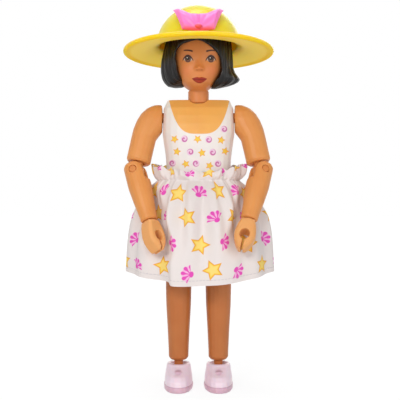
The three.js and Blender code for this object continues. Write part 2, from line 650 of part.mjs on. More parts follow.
// Forward relief of the face at x, level: nose, lips, chin, and eye hollows.
function faceRelief(x, level) {
  const bump = (cx, cz, wide, tall) => Math.exp(-(((x - cx) / wide) ** 2) - ((level - cz) / tall) ** 2);
  const { chin, lips, nose: tip, eyes: eyeLine, bridge } = FACE_LEVELS;
  const rise = (bridge - level) / (bridge - tip);
  const ridge = rise > 0 && rise < 1.06 ? rise : 0;
  const nose = NOSE_OUT * (ridge * Math.exp(-((x / 1.25) ** 2)) * 0.7 + 0.5 * bump(0, tip, 1.7, 0.025));
  const mouth = 0.45 * bump(0, lips, 2.6, 0.05) + 0.35 * bump(0, chin, 2.4, 0.04);
  const eyes = 0.5 * (bump(-EYE_X, eyeLine, 2, 0.045) + bump(EYE_X, eyeLine, 2, 0.045));
  return nose + mouth - eyes;
}

// Plain skull inside the hair, clear of the head by a gap.
function skullRings() {
  const rings = [];
  for (let i = 0; i <= 10; i += 1) {
    const level = -0.01 + 1.01 * Math.sin((Math.PI / 2) * (i / 10)) ** 1.3;
    const size = (key) => between(HEAD_SECTIONS, key, level) * HEAD_HALF + 2 * GAP;
    const reach = { left: size('half'), right: size('half'), front: size('front'), back: size('back') };
    rings.push(ring(CHIN_RISE + level * HEAD_H + GAP * (level > 0.9 ? 1 : 0), reach, SKULL, POWER.head));
  }
  const neck = NECK_R + 2 * GAP;
  return [ring(0, even(neck, neck), SKULL), ring(0.8 * CHIN_RISE, even(neck, neck), SKULL), ...rings];
}

function headRings() {
  const levels = [];
  for (let i = 0; i <= 6; i += 1) levels.push(-0.01 + 0.12 * (i / 6) ** 1.4);
  for (let i = 1; i <= 11; i += 1) levels.push(0.11 + (0.4 * i) / 11);
  for (let i = 1; i <= 6; i += 1) levels.push(0.51 + 0.49 * Math.sin((Math.PI / 2) * (i / 6)));
  const skull = levels.map((level) => {
    const size = (key) => between(HEAD_SECTIONS, key, level) * HEAD_HALF;
    const reach = { left: size('half'), right: size('half'), front: size('front'), back: size('back') };
    const points = ring(CHIN_RISE + level * HEAD_H, reach, FACE, POWER.head);
    return points.map((p) => (p.y < 0 ? p.setY(p.y - faceRelief(p.x, level)) : p));
  });
  const neck = [0, 0.45, 0.85].map((t) => ring(t * CHIN_RISE, even(NECK_R, NECK_R), FACE));
  return [...neck, ...skull];
}

function hatFrame() {
  return new THREE.Matrix4().makeRotationX(-HAT_TILT).setPosition(0, 0, BRIM_Z);
}

// Straight hole in the head and hair for the hat's peg.
function hatPegHole() {
  const top = BRIM_RISE + CROWN_R - HAT_WALL;
  return rod('z', HAT_PEG_R + PIN_FIT, top - HAT_PEG_L - GAP, FAR).applyMatrix4(hatFrame());
}

function head() {
  return solid(loft(headRings()))
    .subtract(solid(pinHole(BODY_PIN_REACH)))
    .subtract(solid(hatPegHole()));
}

// Hair sections as the head's: the doll's right lock curls in, the left lock flips out.
const HAIR_SECTIONS = [
  { z: 0.03, left: 0.78, right: 0.6, front: 0.45, back: 0.74 },
  { z: 0.055, left: 0.98, right: 0.92, front: 0.62, back: 0.86 },
  { z: 0.085, left: 1.08, right: 1.15, front: 0.72, back: 0.92 },
  { z: 0.12, left: 1.16, right: 1.31, front: 0.78, back: 0.96 },
  { z: 0.16, left: 1.21, right: 1.36, front: 0.84, back: 1 },
  { z: 0.22, left: 1.245, right: 1.22, front: 0.91, back: 1.05 },
  { z: 0.32, left: 1.26, right: 1.12, front: 0.98, back: 1.12 },
  { z: 0.45, left: 1.22, right: 1.11, front: 1.02, back: 1.17 },
  { z: 0.6, left: 1.12, right: 1.07, front: 1.04, back: 1.18 },
  { z: 0.75, left: 1.03, right: 1.02, front: 0.99, back: 1.1 },
  { z: 0.88, left: 0.85, right: 0.85, front: 0.83, back: 0.92 },
  { z: 0.97, left: 0.6, right: 0.6, front: 0.58, back: 0.64 },
  { z: 1.03, left: 0.3, right: 0.3, front: 0.29, back: 0.32 },
  { z: HAIR_TOP_RATIO, left: 0.06, right: 0.06, front: 0.06, back: 0.06 },
];
const HAIR_LEVELS = [
  0.03, 0.04, 0.06, 0.085, 0.115, 0.15, 0.19, 0.24, 0.31,
  0.4, 0.52, 0.64, 0.75, 0.85, 0.93, 0.99, 1.03, HAIR_TOP_RATIO,
];
const HAIR_RISE = 0.12; // lower edge at the nape above the front locks, over HEAD_H
const HAIR_CURL = 0.075; // inner end of the doll's right lock above its outer end, over HEAD_H
const STRANDS = 9;
const STRAND_DEPTH = 0.28;

// Hairline round the face: [x over HEAD_HALF, height over HEAD_H from the chin].
const HAIRLINE = [
  [-0.4, -0.5], [-0.45, 0.04], [-0.51, 0.09], [-0.58, 0.145], [-0.69, 0.225], [-0.735, 0.4],
  [-0.675, 0.465], [-0.575, 0.515], [-0.445, 0.567], [-0.22, 0.6], [-0.055, 0.61], [0.135, 0.595],
  [0.325, 0.555], [0.48, 0.515], [0.62, 0.465], [0.72, 0.4], [0.77, 0.255], [0.7, 0.17],
  [0.58, 0.12], [0.47, 0.06], [0.4, -0.5],
];

function hair() {
  const rings = HAIR_LEVELS.map((level) => {
    const size = (key) => between(HAIR_SECTIONS, key, level) * HEAD_HALF;
    const reach = { left: size('left'), right: size('right'), front: size('front'), back: size('back') };
    const points = ring(CHIN_RISE + level * HEAD_H, reach, HAIR, POWER.head);
    const fade = STRAND_DEPTH * THREE.MathUtils.smoothstep(1 - level, 0, 0.3);
    const nape = HAIR_RISE * HEAD_H * (1 - THREE.MathUtils.smoothstep(level, 0.03, 0.5));
    const curl = HAIR_CURL * HEAD_H * (1 - THREE.MathUtils.smoothstep(level, 0.03, 0.3));
    return points.map((p, i) => {
      const groove = fade * Math.cos((2 * Math.PI * STRANDS * i) / HAIR);
      const front = 1 - THREE.MathUtils.smoothstep(p.y, -0.5 * HEAD_HALF, 0.2 * HEAD_HALF);
      const inner = p.x < 0 ? THREE.MathUtils.smoothstep(p.x, -HEAD_HALF, -0.45 * HEAD_HALF) : 0;
      p.z += nape * THREE.MathUtils.smoothstep(p.y, -0.3 * HEAD_HALF, 0.9 * HEAD_HALF) + curl * front * inner;
      return p.addScaledVector(new THREE.Vector3(p.x, p.y, 0).normalize(), groove);
    });
  });
  const outline = HAIRLINE.map(([x, z]) => new THREE.Vector2(x * HEAD_HALF, CHIN_RISE + z * HEAD_H));
  const face = new THREE.ExtrudeGeometry(new THREE.Shape(outline), { depth: FAR, bevelEnabled: false });
  face.rotateX(Math.PI / 2).translate(0, -0.2 * HEAD_HALF, 0);
  return solid(loft(rings))
    .subtract(solid(loft(skullRings())))
    .subtract(solid(face))
    .subtract(solid(hatPegHole()));
}

// Hat seen from the centre of its brim edge: domed crown, drooping brim, rolled lip, inner peg.
function hat() {
  const profile = [];
  const arc = (radius, from, to, steps) => {
    for (let i = 0; i <= steps; i += 1) {
      const angle = THREE.MathUtils.degToRad(from + ((to - from) * i) / steps);
      profile.push([radius * Math.cos(angle), BRIM_RISE + radius * Math.sin(angle)]);
    }
  };
  const inner = CROWN_R - HAT_WALL;
  profile.push([0, BRIM_RISE + CROWN_R]);
  arc(CROWN_R, 76, 8, 5);
  profile.push([CROWN_R + 0.06 * BRIM_W, BRIM_RISE + 0.75], [CROWN_R + 0.3 * BRIM_W, BRIM_RISE + 0.25]);
  profile.push([CROWN_R + 0.65 * BRIM_W, BRIM_RISE - 0.25], [BRIM_R - 1.6 * LIP_R, LIP_R]);
  for (let i = 0; i <= 3; i += 1) {
    const angle = THREE.MathUtils.degToRad(70 - 50 * i);
    profile.push([BRIM_R - LIP_R + LIP_R * Math.cos(angle), LIP_R * Math.sin(angle)]);
  }
  profile.push([BRIM_R - 2.1 * LIP_R, -0.45 * LIP_R], [CROWN_R + 0.65 * BRIM_W, BRIM_RISE - 0.25 - HAT_WALL]);
  profile.push([CROWN_R + 0.3 * BRIM_W, BRIM_RISE + 0.25 - HAT_WALL], [inner + 0.4, BRIM_RISE - 0.6]);
  arc(inner, 0, 76, 4);
  const pegEnd = BRIM_RISE + inner - HAT_PEG_L;
  profile.push([HAT_PEG_R, BRIM_RISE + inner - 0.1], [HAT_PEG_R, pegEnd + EDGE]);
  profile.push([HAT_PEG_R - EDGE, pegEnd], [0, pegEnd]);
  const peg = rod('z', BOW_PEG_R + PIN_FIT, -HAT_WALL - GAP, FAR).applyMatrix4(bowFrame());
  return solid(turned(profile, HAT)).subtract(solid(peg));
}

// Place of the bow on the crown: z out of the crown, y up along it.
function bowFrame() {
  const middle = new THREE.Vector3(0, -Math.cos(BOW_ANGLE), Math.sin(BOW_ANGLE)).multiplyScalar(CROWN_R);
  middle.z += BRIM_RISE;
  return new THREE.Matrix4().makeRotationX(Math.PI / 2 - BOW_ANGLE).setPosition(middle);
}

// Bow with two wings that follow the crown, a dip in the upper edge and a knot at the lower edge.
function bow() {
  const rings = [];
  const steps = 14;
  for (let i = 0; i <= steps; i += 1) {
    const t = (2 * i) / steps - 1;
    const spread = THREE.MathUtils.smoothstep(Math.abs(t), 0.06, 0.9);
    const tip = Math.cos((Math.PI / 2) * THREE.MathUtils.smoothstep(Math.abs(t), 0.8, 1));
    const top = THREE.MathUtils.lerp(BOW_TOP.middle, BOW_TOP.wing, spread);
    const low = THREE.MathUtils.lerp(BOW_LOW.middle, BOW_LOW.wing, t * t);
    const thick = BOW_T * (0.7 + 0.3 * spread) * (0.3 + 0.7 * tip);
    const points = [];
    for (let j = 0; j < BOW_FACETS; j += 1) {
      const angle = (2 * Math.PI * j) / BOW_FACETS;
      const up = Math.cos(angle) * (Math.cos(angle) > 0 ? top : low);
      const x = t * (BOW_HALF + BOW_SHEAR * up);
      const crown = Math.sqrt((CROWN_R + GAP) ** 2 - (BOW_HUG * x) ** 2 - up * up) - CROWN_R;
      points.push(new THREE.Vector3(x, up, crown + thick * Math.max(0, Math.sin(angle))));
    }
    rings.push(points);
  }
  const knot = new THREE.SphereGeometry(1, BOW_FACETS, 8).scale(1.3, 1.1, 0.7);
  knot.translate(0, -0.72 * BOW_LOW.middle, 0.35 * BOW_T);
  const peg = rod('z', BOW_PEG_R, -HAT_WALL, BOW_T / 2);
  return solid(loft(rings)).add(solid(knot)).add(solid(peg));
}

function headParts(root) {
  const neck = joint('head_turn', root, (g) => {
    g.position.z = NECK_Z;
  });
  neck.add(part('head', head(), 'face'), part('hair', hair(), 'hair'));
  const hatGroup = joint('hat_lift', neck, (g) => g.applyMatrix4(hatFrame()));
  hatGroup.add(part('hat', hat(), 'hat'));
  const bowGroup = joint('bow', hatGroup, (g) => g.applyMatrix4(bowFrame()));
  bowGroup.add(part('hat_bow', bow(), 'bow'));
}

// Skirt sections from the gather down: fall 0 at the gather, 1 at the hem; flare 0 waist, 1 hem.
const SKIRT_SECTIONS = [
  { z: 0, flare: 0 },
  { z: 0.09, flare: 0.27 },
  { z: 0.22, flare: 0.52 },
  { z: 0.36, flare: 0.72 },
  { z: 0.55, flare: 0.86 },
  { z: 0.78, flare: 0.95 },
  { z: 1, flare: 1 },
];
const RUFFLE_FLARE = 0.17;

function hemHeight(angle) {
  const s = Math.sin(angle);
  const end = s < 0 ? HEM_Z.front : HEM_Z.back;
  return HEM_Z.side + (end - HEM_Z.side) * s * s;
}

// Uneven folds round the skirt, from -1 in a valley to 1 on a crest.
function fold(angle) {
  const turn = angle + Math.PI / 2;
  const drift = 0.5 * Math.sin(2 * turn) - 0.9 * Math.sin(3 * turn);
  return -Math.cos(FOLDS * turn + drift) * (0.75 + 0.25 * Math.cos(3 * turn + 0.5));
}

// Folds start under the gather, are deepest above the middle and ease towards the hem.
function foldShare(fall) {
  return Math.min(1, Math.abs(fall) * 2.5) * (1 - 0.6 * THREE.MathUtils.smoothstep(fall, 0.35, 1));
}

// Moves a cloth point towards the body until it is clear of the arms resting on it.
function pressed(point, rests) {
  const inward = new THREE.Vector3(-point.x, -point.y, 0).normalize();
  for (const { centre, radius } of rests) {
    const away = point.clone().sub(centre);
    const along = away.dot(inward);
    const depth = radius * radius - away.lengthSq() + along * along;
    if (away.length() < radius) point.addScaledVector(inward, -along + Math.sqrt(depth));
  }
  return point;
}

function waistRing(z, ease, count) {
  return torsoRing((z - HIP_Z) / TORSO_H, -ease, count);
}

function skirtRing(fall, inset, rests) {
  const waistZ = HIP_Z + WAIST_RISE;
  const waist = waistRing(waistZ, WAIST_EASE - inset, CLOTH);
  const flare = fall < 0 ? -fall * RUFFLE_FLARE : between(SKIRT_SECTIONS, 'flare', fall);
  return waist.map((p, i) => {
    const angle = (2 * Math.PI * i) / CLOTH;
    const hem = {
      x: Math.cos(angle) * (HEM_HALF - inset) + HEM_SWAY,
      y: Math.sin(angle) * (HEM_DEPTH - inset),
    };
    const wave = 1 + FOLD_DEPTH * fold(angle) * foldShare(fall);
    const x = (p.x + (hem.x - p.x) * flare) * wave;
    const y = (p.y + (hem.y - p.y) * flare) * wave;
    const drop = fall < 0 ? WAIST_RISE - RUFFLE_RISE : hemHeight(angle) - waistZ;
    const z = waistZ + drop * fall;
    return pressed(new THREE.Vector3(x, y, z), rests.map((r) => ({ ...r, radius: r.radius + inset })));
  });
}

function skirt(rests) {
  const falls = [1, 0.84, 0.66, 0.48, 0.32, 0.18, 0.08, 0, -0.5, -1];
  const outer = falls.map((fall) => skirtRing(fall, 0, rests));
  const inner = falls.map((fall) => skirtRing(fall, CLOTH_T, rests));
  return part('skirt', solid(sleeve(outer, inner)), 'cloth');
}

function waistElastic() {
  const waistZ = HIP_Z + WAIST_RISE;
  const levels = [waistZ - ELASTIC_H / 2, waistZ + ELASTIC_H / 2];
  const ease = (WAIST_EASE - CLOTH_T - ELASTIC_T) / 2;
  const outer = levels.map((z) => waistRing(z, ease + ELASTIC_T, BODY));
  const inner = levels.map((z) => waistRing(z, ease, BODY));
  return part('waist_elastic', solid(sleeve(outer, inner)), 'white');
}

// Balls along the forearm and hand that the cloth must stay clear of.
function restsOf(armGroups) {
  const rests = [];
  for (const { bend, wrist } of armGroups) {
    bend.updateWorldMatrix(true, true);
    const add = (group, z, radius) => {
      rests.push({ centre: group.localToWorld(new THREE.Vector3(0, 0, z)), radius: radius + CLOTH_CLEAR });
    };
    for (const t of [0.1, 0.4, 0.7, 1]) add(bend, -t * FOREARM_L, FOREARM_HALF);
    for (const t of [0.2, 0.45, 0.7, 0.95]) add(wrist, -t * HAND_L, HAND_W / 2);
  }
  return rests;
}

function doll() {
  const root = new THREE.Group();
  root.add(...torsoParts());
  headParts(root);
  const arms = Object.entries(SIDES).map(([name, side]) => arm(side, name, root));
  for (const [name, side] of Object.entries(SIDES)) leg(side, name, root);
  root.updateWorldMatrix(true, true);
  root.add(skirt(restsOf(arms)), waistElastic());
  return root;
}

export default doll();
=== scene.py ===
import json
import math

import bmesh
import bpy
import numpy as np
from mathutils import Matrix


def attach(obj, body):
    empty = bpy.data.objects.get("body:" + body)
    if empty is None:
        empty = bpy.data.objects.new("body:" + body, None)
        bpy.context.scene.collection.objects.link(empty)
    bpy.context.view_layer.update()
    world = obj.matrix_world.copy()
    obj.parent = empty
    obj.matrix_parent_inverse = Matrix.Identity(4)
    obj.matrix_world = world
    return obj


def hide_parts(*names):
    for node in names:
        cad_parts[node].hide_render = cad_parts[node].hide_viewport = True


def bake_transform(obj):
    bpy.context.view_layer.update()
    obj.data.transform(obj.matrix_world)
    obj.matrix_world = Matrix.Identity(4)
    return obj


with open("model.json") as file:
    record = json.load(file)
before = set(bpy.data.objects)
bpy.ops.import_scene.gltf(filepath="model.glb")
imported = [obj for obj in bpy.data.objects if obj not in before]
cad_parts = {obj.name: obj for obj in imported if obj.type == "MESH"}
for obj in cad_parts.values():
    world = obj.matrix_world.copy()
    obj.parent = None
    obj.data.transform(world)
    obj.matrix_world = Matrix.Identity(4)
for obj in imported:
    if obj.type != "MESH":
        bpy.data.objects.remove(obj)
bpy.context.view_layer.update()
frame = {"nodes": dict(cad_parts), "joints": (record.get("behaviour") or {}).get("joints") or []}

MM = 0.001
SIDES = {"right": -1, "left": 1}
JOINTS = {joint["name"]: joint for joint in frame["joints"]}

# sizes of the doll in millimetres, as in the part, apart from the bow, the gather and the ruffle
NECK_Z = 104.0
CHIN_Z = 108.1
HEAD_H = 28.4
HEAD_HALF = 11.0
NECK_R = 3.8
HAT_Z = 122.9
HAT_TILT = math.radians(3.6)
BRIM_R = 27.6
BRIM_RISE = 1.4
CROWN_R = 15.6
HAT_WALL = 1.3
HAT_PEG_R = 1.5
HAT_PEG_L = 4.6
LIP_R = 0.85
CROWN_FOOT = 8  # degrees above the crown's widest level
BOW_ANGLE = math.radians(29)
BOW_HALF = 7.25
BOW_TOP = {"middle": 1.5, "wing": 5.5}
BOW_LOW = {"middle": 5.5, "wing": 4.7}
BOW_SHEAR = 0.33
BOW_HUG = 0.6
BOW_T = 1.7
BOW_GAP = 0.3
BOW_SPREAD = (0.25, 0.9)
BOW_TIP = (0.8, 1.0)
BOW_CREASES = 15
BOW_CREASE_T = 0.2
BOW_DENT = {"depth": 0.4, "half": 0.05}
BOW_KNOT = (1.3, 0.9, 0.75)
WAIST_Z = 75.8
RUFFLE_Z = {"front": 78.9, "side": 81.4, "back": 81.2}
WAIST = {"half": 15.1, "front": 9.45, "back": 9.35}
WAIST_POWER = 2.5
HEM_HALF = 26.95
HEM_SWAY = 0.45
HEM_DEPTH = 18.8
HEM_Z = {"front": 38.9, "side": 43.0, "back": 47.2}
FOLDS = 11
FOLD_DEPTH = 0.085
FOLD_DRIFT = [(0.5, 2), (-0.9, 3)]
FOLD_UNEVEN = 0.25
CLOTH_T = 0.45
CLOTH_CLEAR = 1.3
PRESS_EASE = 0.7
FOREARM_HALF = 4.15
HAND_L = 11.6
HAND_HALF = 3.7
SHOE_X = 7.3
SHOE_KNOT_Z = 6.8
SHOE_KNOT_R = 0.75
SOLE_H = 1.95

# the painted face, in millimetres
FACE_X = 0.35
EYE_X = 4.1
EYE_Z = 118.85
EYE_HALF = 1.62
BROW_Z = 121.9
MOUTH_Z = 111.35
MOUTH_HALF = 2.7
NOSE_Z = 115.5
BRIDGE_Z = 120.6
EYE_SLANT = 0.07
EYE_TOP = 1.25
EYE_LOW = 1.12
IRIS_R = 1.08
PUPIL_R = 0.52
GLINT_R = 0.17
EYE_SHADE = {"up": 0.9, "wide": 2.3, "tall": 1.5}
LID_T = 0.3
LASH_T = 0.1
BROW_T = 0.32
BROW_HALF = 1.6
LIP_TOP = 1.05
LIP_LOW = 1.2
CHEEK = {"x": 4.9, "z": 114.6, "r": 3.4}
NOSTRIL = {"x": 0.85, "drop": 0.75, "r": 0.32}

# the prints, in millimetres: distance of the motifs, and how far and how much each is moved and turned
CLOTH_PRINT = {"pitch": 8.8, "jitter": 1.8, "spin": 5.0}
BODICE_PRINT = {"pitch": 4.2, "jitter": 1.3, "spin": 4.0}
BODICE_SHIFT = (0.8, 0.5)
STAR_POINTS = 5
STAR_WAIST = 0.5
STAR_R = 3.5
STAR_RIM = 0.26
STAR_HEART_R = 2.3
FAN_R = 2.95
FAN_FOOT = 1.25
FAN_HALF_ANGLE = 1.35
FAN_RIBS = 9.0
FAN_KNOB_R = 0.7
SMALL_STAR_R = 1.55
SMALL_STAR_RIM = 0.16
WHORL_R = 1.2
NECKLINE = {"middle": 0.3, "half": 10.7, "low": 92.2, "rise": 11.4, "power": 3.6}
NECKLINE_BEHIND = 5.0
PRINT_HALF = 10.4
PRINT_BELOW_NECKLINE = 1.7
PRINT_ABOVE_RUFFLE = 1.4
HEM_SEAM = 1.75
STITCH_HALF = 0.14

# waves of fine relief, in radians to the millimetre, and those of the hair in radians round the head
THREADS = 20.0
STITCHES = 5.5
ELASTIC_RIBS = 12.0
TREADS = 4.5
STRANDS = 60.0
FINE_STRANDS = 133.0

# camera, from the photograph
PHOTO_PX = 400
FOCAL_PX = 840.6
CAMERA_MM = (0.55, -309.0, 68.6)
SENSOR = 36.0

# rounding of the moulded edges: voxels in millimetres and rounds of smoothing
VOXEL = 0.25
FINE_VOXEL = 0.18
HAIR_VOXEL = 0.3
ROUNDS = 5
HAIR_ROUNDS = 6

# light, in metres and watts: lamps with place, size and power, and the floor's glow and shadow
LAMP_AIM = (0, 0, 0.09)
LAMPS = {
    "key": ((-0.24, -0.58, 0.32), 0.26, 1.8),
    "fill": ((0.45, -0.55, 0.2), 0.4, 1.1),
    "top": ((-0.05, 0.0, 0.8), 0.5, 2.6),
    "back": ((0.15, 0.6, 0.35), 0.5, 1.0),
}
WORLD_LIGHT = 0.27
FLOOR_HALF = 3.0
FLOOR_GLOW = 1.06
GLOW_NEAR = 0.84
SHADOW_ZONE = (0.06, 0.35)


class Field:
    """Numbers over a surface, written as arithmetic and built as nodes."""

    def __init__(self, tree, socket):
        self.tree = tree
        self.socket = socket

    def math(self, kind, *others):
        node = self.tree.nodes.new("ShaderNodeMath")
        node.operation = kind
        for slot, value in zip(node.inputs, (self, *others)):
            if isinstance(value, Field):
                self.tree.links.new(value.socket, slot)
            else:
                slot.default_value = value
        return Field(self.tree, node.outputs[0])

    def __add__(self, other):
        return self.math("ADD", other)

    def __sub__(self, other):
        return self.math("SUBTRACT", other)

    def __mul__(self, other):
        return self.math("MULTIPLY", other)

    def __truediv__(self, other):
        return self.math("DIVIDE", other)

    def __rsub__(self, other):
        return (self * -1.0) + other

    __radd__ = __add__

    def power(self, exponent):
        return self.math("POWER", exponent)

    def abs(self):
        return self.math("ABSOLUTE")

    def floor(self):
        return self.math("FLOOR")

    def fract(self):
        return self.math("FRACT")

    def sin(self):
        return self.math("SINE")

    def cos(self):
        return self.math("COSINE")

    def least(self, other):
        return self.math("MINIMUM", other)

    def most(self, other):
        return self.math("MAXIMUM", other)

    def wave(self):
        """Waves from 0 to 1."""
        return self.sin() * 0.5 + 0.5

    def length(self, other):
        return (self * self + other * other).math("SQRT")

    def angle(self, other):
        return self.math("ARCTAN2", other)

    def step(self, low, high):
        """0 below low, 1 above high, smooth between."""
        node = self.tree.nodes.new("ShaderNodeMapRange")
        node.interpolation_type = "SMOOTHSTEP"
        self.tree.links.new(self.socket, node.inputs["Value"])
        node.inputs["From Min"].default_value = low
        node.inputs["From Max"].default_value = high
        return Field(self.tree, node.outputs["Result"])

    def inside(self, soft=0.05):
        """1 where the number is over 0, with a soft edge."""
        return self.step(-soft, soft)


class Surface:
    """A plastic or cloth material whose colour is built in layers."""

    def __init__(self, name, colour, roughness=None):
        self.material = bpy.data.materials.new(name)
        self.material.use_nodes = True
        self.tree = self.material.node_tree
        self.shader = self.tree.nodes["Principled BSDF"]
        if roughness is not None:
            self.shader.inputs["Roughness"].default_value = roughness
        self.colour = self.plain(colour)
        place = self.tree.nodes.new("ShaderNodeTexCoord")
        self.place = place.outputs["Object"]
        self.facing = place.outputs["Normal"]
        self.uv = place.outputs["UV"]

    def plain(self, colour):
        node = self.tree.nodes.new("ShaderNodeRGB")
        node.outputs[0].default_value = (*linear(colour), 1)
        return node.outputs[0]

    def field(self, socket):
        return Field(self.tree, socket)

    def axes(self, socket=None, scale=1 / MM):
        node = self.tree.nodes.new("ShaderNodeSeparateXYZ")
        self.tree.links.new(socket or self.place, node.inputs[0])
        return [self.field(out) * scale for out in node.outputs]

    def noise(self, size, detail=2.0):
        """Cloudy number from 0 to 1, size in millimetres."""
        node = self.tree.nodes.new("ShaderNodeTexNoise")
        node.inputs["Scale"].default_value = 1 / (size * MM)
        node.inputs["Detail"].default_value = detail
        self.tree.links.new(self.place, node.inputs["Vector"])
        return self.field(node.outputs["Fac"])

    def layer(self, mask, colour):
        """Paints the colour on, as far as the mask says, from 0 to 1."""
        node = self.tree.nodes.new("ShaderNodeMix")
        node.data_type = "RGBA"
        self.tree.links.new(mask.socket, node.inputs["Factor"])
        self.tree.links.new(self.colour, node.inputs["A"])
        self.tree.links.new(self.plain(colour), node.inputs["B"])
        self.colour = node.outputs["Result"]

    def mottle(self, size, amount, colour):
        self.layer(self.noise(size).step(0.35, 0.75) * amount, colour)

    def rough(self, size, low, high):
        self.drive("Roughness", self.noise(size) * (high - low) + low)

    def bump(self, height, depth):
        """Relief from a number between 0 and 1, depth in millimetres."""
        node = self.tree.nodes.new("ShaderNodeBump")
        node.inputs["Distance"].default_value = depth * MM
        self.tree.links.new(height.socket, node.inputs["Height"])
        previous = self.shader.inputs["Normal"].links
        if previous:
            self.tree.links.new(previous[0].from_socket, node.inputs["Normal"])
        self.tree.links.new(node.outputs["Normal"], self.shader.inputs["Normal"])

    def drive(self, name, value):
        self.tree.links.new(value.socket, self.shader.inputs[name])

    def glow_through(self, weight, radius, share=(1, 0.45, 0.25)):
        """Light that spreads a little inside the plastic, radius in millimetres."""
        self.shader.inputs["Subsurface Weight"].default_value = weight
        self.shader.inputs["Subsurface Radius"].default_value = share
        self.shader.inputs["Subsurface Scale"].default_value = radius * MM

    def shine(self, level):
        self.shader.inputs["Specular IOR Level"].default_value = level

    def done(self):
        self.tree.links.new(self.colour, self.shader.inputs["Base Color"])
        return self.material


def linear(colour):
    """Colour as seen on a screen, 0 to 255, turned into light."""
    share = np.array(colour) / 255
    return np.where(share <= 0.04045, share / 12.92, ((share + 0.055) / 1.055) ** 2.4)


# colours as seen on a screen, 0 to 255
SKIN = (224, 149, 80)
SKIN_WARM = (214, 132, 64)
HAND = (232, 166, 100)
HAND_WARM = (226, 152, 84)
# painted shade: the legs' skin is made darker than the arms', for the shade that falls on them under the
# skirt
LEG_PAINTED_SHADE = (194, 116, 60)
LEG_PAINTED_SHADE_WARM = (184, 102, 48)
PIN = (214, 134, 68)
PIN_WARM = (198, 114, 54)
CHEST = (240, 174, 88)
FACE = (212, 134, 73)
FACE_WARM = (200, 113, 58)
BLUSH = (222, 116, 82)
NOSTRIL_BROWN = (140, 72, 42)
EYE_SHADOW = (158, 88, 66)
EYE_WHITE = (222, 200, 180)
EYE_WHITE_PAINTED_SHADOW = (150, 110, 92)
IRIS = (72, 38, 26)
IRIS_GLOW = (142, 86, 54)
PUPIL = (24, 14, 14)
GLINT = (250, 244, 238)
LID = (44, 22, 20)
LASH = (104, 54, 38)
BROW = (66, 34, 22)
LIPS = (150, 36, 10)
LIPS_PAINTED_HIGHLIGHT = (196, 76, 44)
LIPS_PARTING = (112, 24, 14)
WHITE = (241, 234, 229)
WHITE_SHADE = (230, 222, 220)
CLOTH = (235, 226, 223)
THREAD = (206, 198, 206)
ELASTIC = (240, 236, 236)
ELASTIC_SHADE = (214, 208, 208)
STAR = (250, 205, 70)
STAR_EDGE = (238, 160, 42)
STAR_HEART = (255, 238, 160)
SHELL = (232, 84, 186)
SHELL_PALE = (248, 190, 226)
MAUVE = (206, 112, 168)
MAUVE_PALE = (240, 204, 226)
HAT = (255, 217, 0)
HAT_WARM = (254, 208, 0)
HAT_UNDER_PAINTED_LIGHT = (255, 214, 92)
HAT_EDGE_PAINTED_SHADE = (246, 198, 0)
BOW = (252, 132, 208)
BOW_DEEP = (244, 104, 196)
BOW_EDGE_PAINTED_SHADE_AND_REFLECTION = (232, 76, 66)
BOW_CREASE_PAINTED_SHADE = (214, 78, 164)
HAIR = (9, 8, 8)
HAIR_SHEEN = (44, 38, 38)
SHOE = (255, 232, 244)
SHOE_WARM = (254, 216, 230)
SHOE_SOLE_PAINTED_SHADE = (222, 172, 192)
SHOE_SEAM = (186, 132, 154)
SHOE_KNOT_PAINTED_SHADE = (196, 140, 164)
INNER = (233, 228, 222)
INNER_SHADE = (220, 213, 205)
FLOOR = (238, 238, 238)
FLOOR_SHADE = (232, 232, 232)


def skin(name, colour, warm):
    """Satin skin-coloured plastic."""
    surface = Surface(name, colour)
    surface.mottle(size=9, amount=0.35, colour=warm)
    surface.rough(size=4, low=0.38, high=0.5)
    surface.bump(surface.noise(size=0.5), depth=0.012)
    surface.glow_through(weight=0.12, radius=0.7)
    surface.shine(0.36)
    return surface


def star_shape(x, y, reach):
    """Distance inside the edge of a five-pointed star, below 0 outside."""
    sector = 2 * math.pi / STAR_POINTS
    inner = STAR_WAIST * reach
    turn = ((y.angle(x) / sector + 0.5).fract() - 0.5).abs() * sector
    radius = x.length(y)
    edge = np.array([inner * math.cos(sector / 2) - reach, inner * math.sin(sector / 2)])
    normal = np.array([edge[1], -edge[0]]) / np.linalg.norm(edge)
    return (turn.cos() * radius - reach) * -normal[0] - turn.sin() * radius * normal[1]


def tossed(surface, u, v, pitch, jitter, spin):
    """Cells of a tossed print: place in the motif, turned by chance, the motif's centre, and an odd mark."""
    row = (v / pitch).floor()
    across = u / pitch + row * 0.5
    column = across.floor()
    seed = surface.tree.nodes.new("ShaderNodeCombineXYZ")
    surface.tree.links.new(column.socket, seed.inputs[0])
    surface.tree.links.new(row.socket, seed.inputs[1])
    chance = surface.tree.nodes.new("ShaderNodeTexWhiteNoise")
    surface.tree.links.new(seed.outputs[0], chance.inputs["Vector"])
    r, g, b = surface.axes(chance.outputs["Color"], 1.0)
    x = (across.fract() - 0.5) * pitch + (r - 0.5) * jitter
    y = ((v / pitch).fract() - 0.5) * pitch + (g - 0.5) * jitter
    angle = (b - 0.5) * spin
    c, s = angle.cos(), angle.sin()
    odd = ((column + row * 2.0) * 0.5).fract().step(0.2, 0.3)
    return (x * c - y * s, x * s + y * c), (u - x, v - y), odd


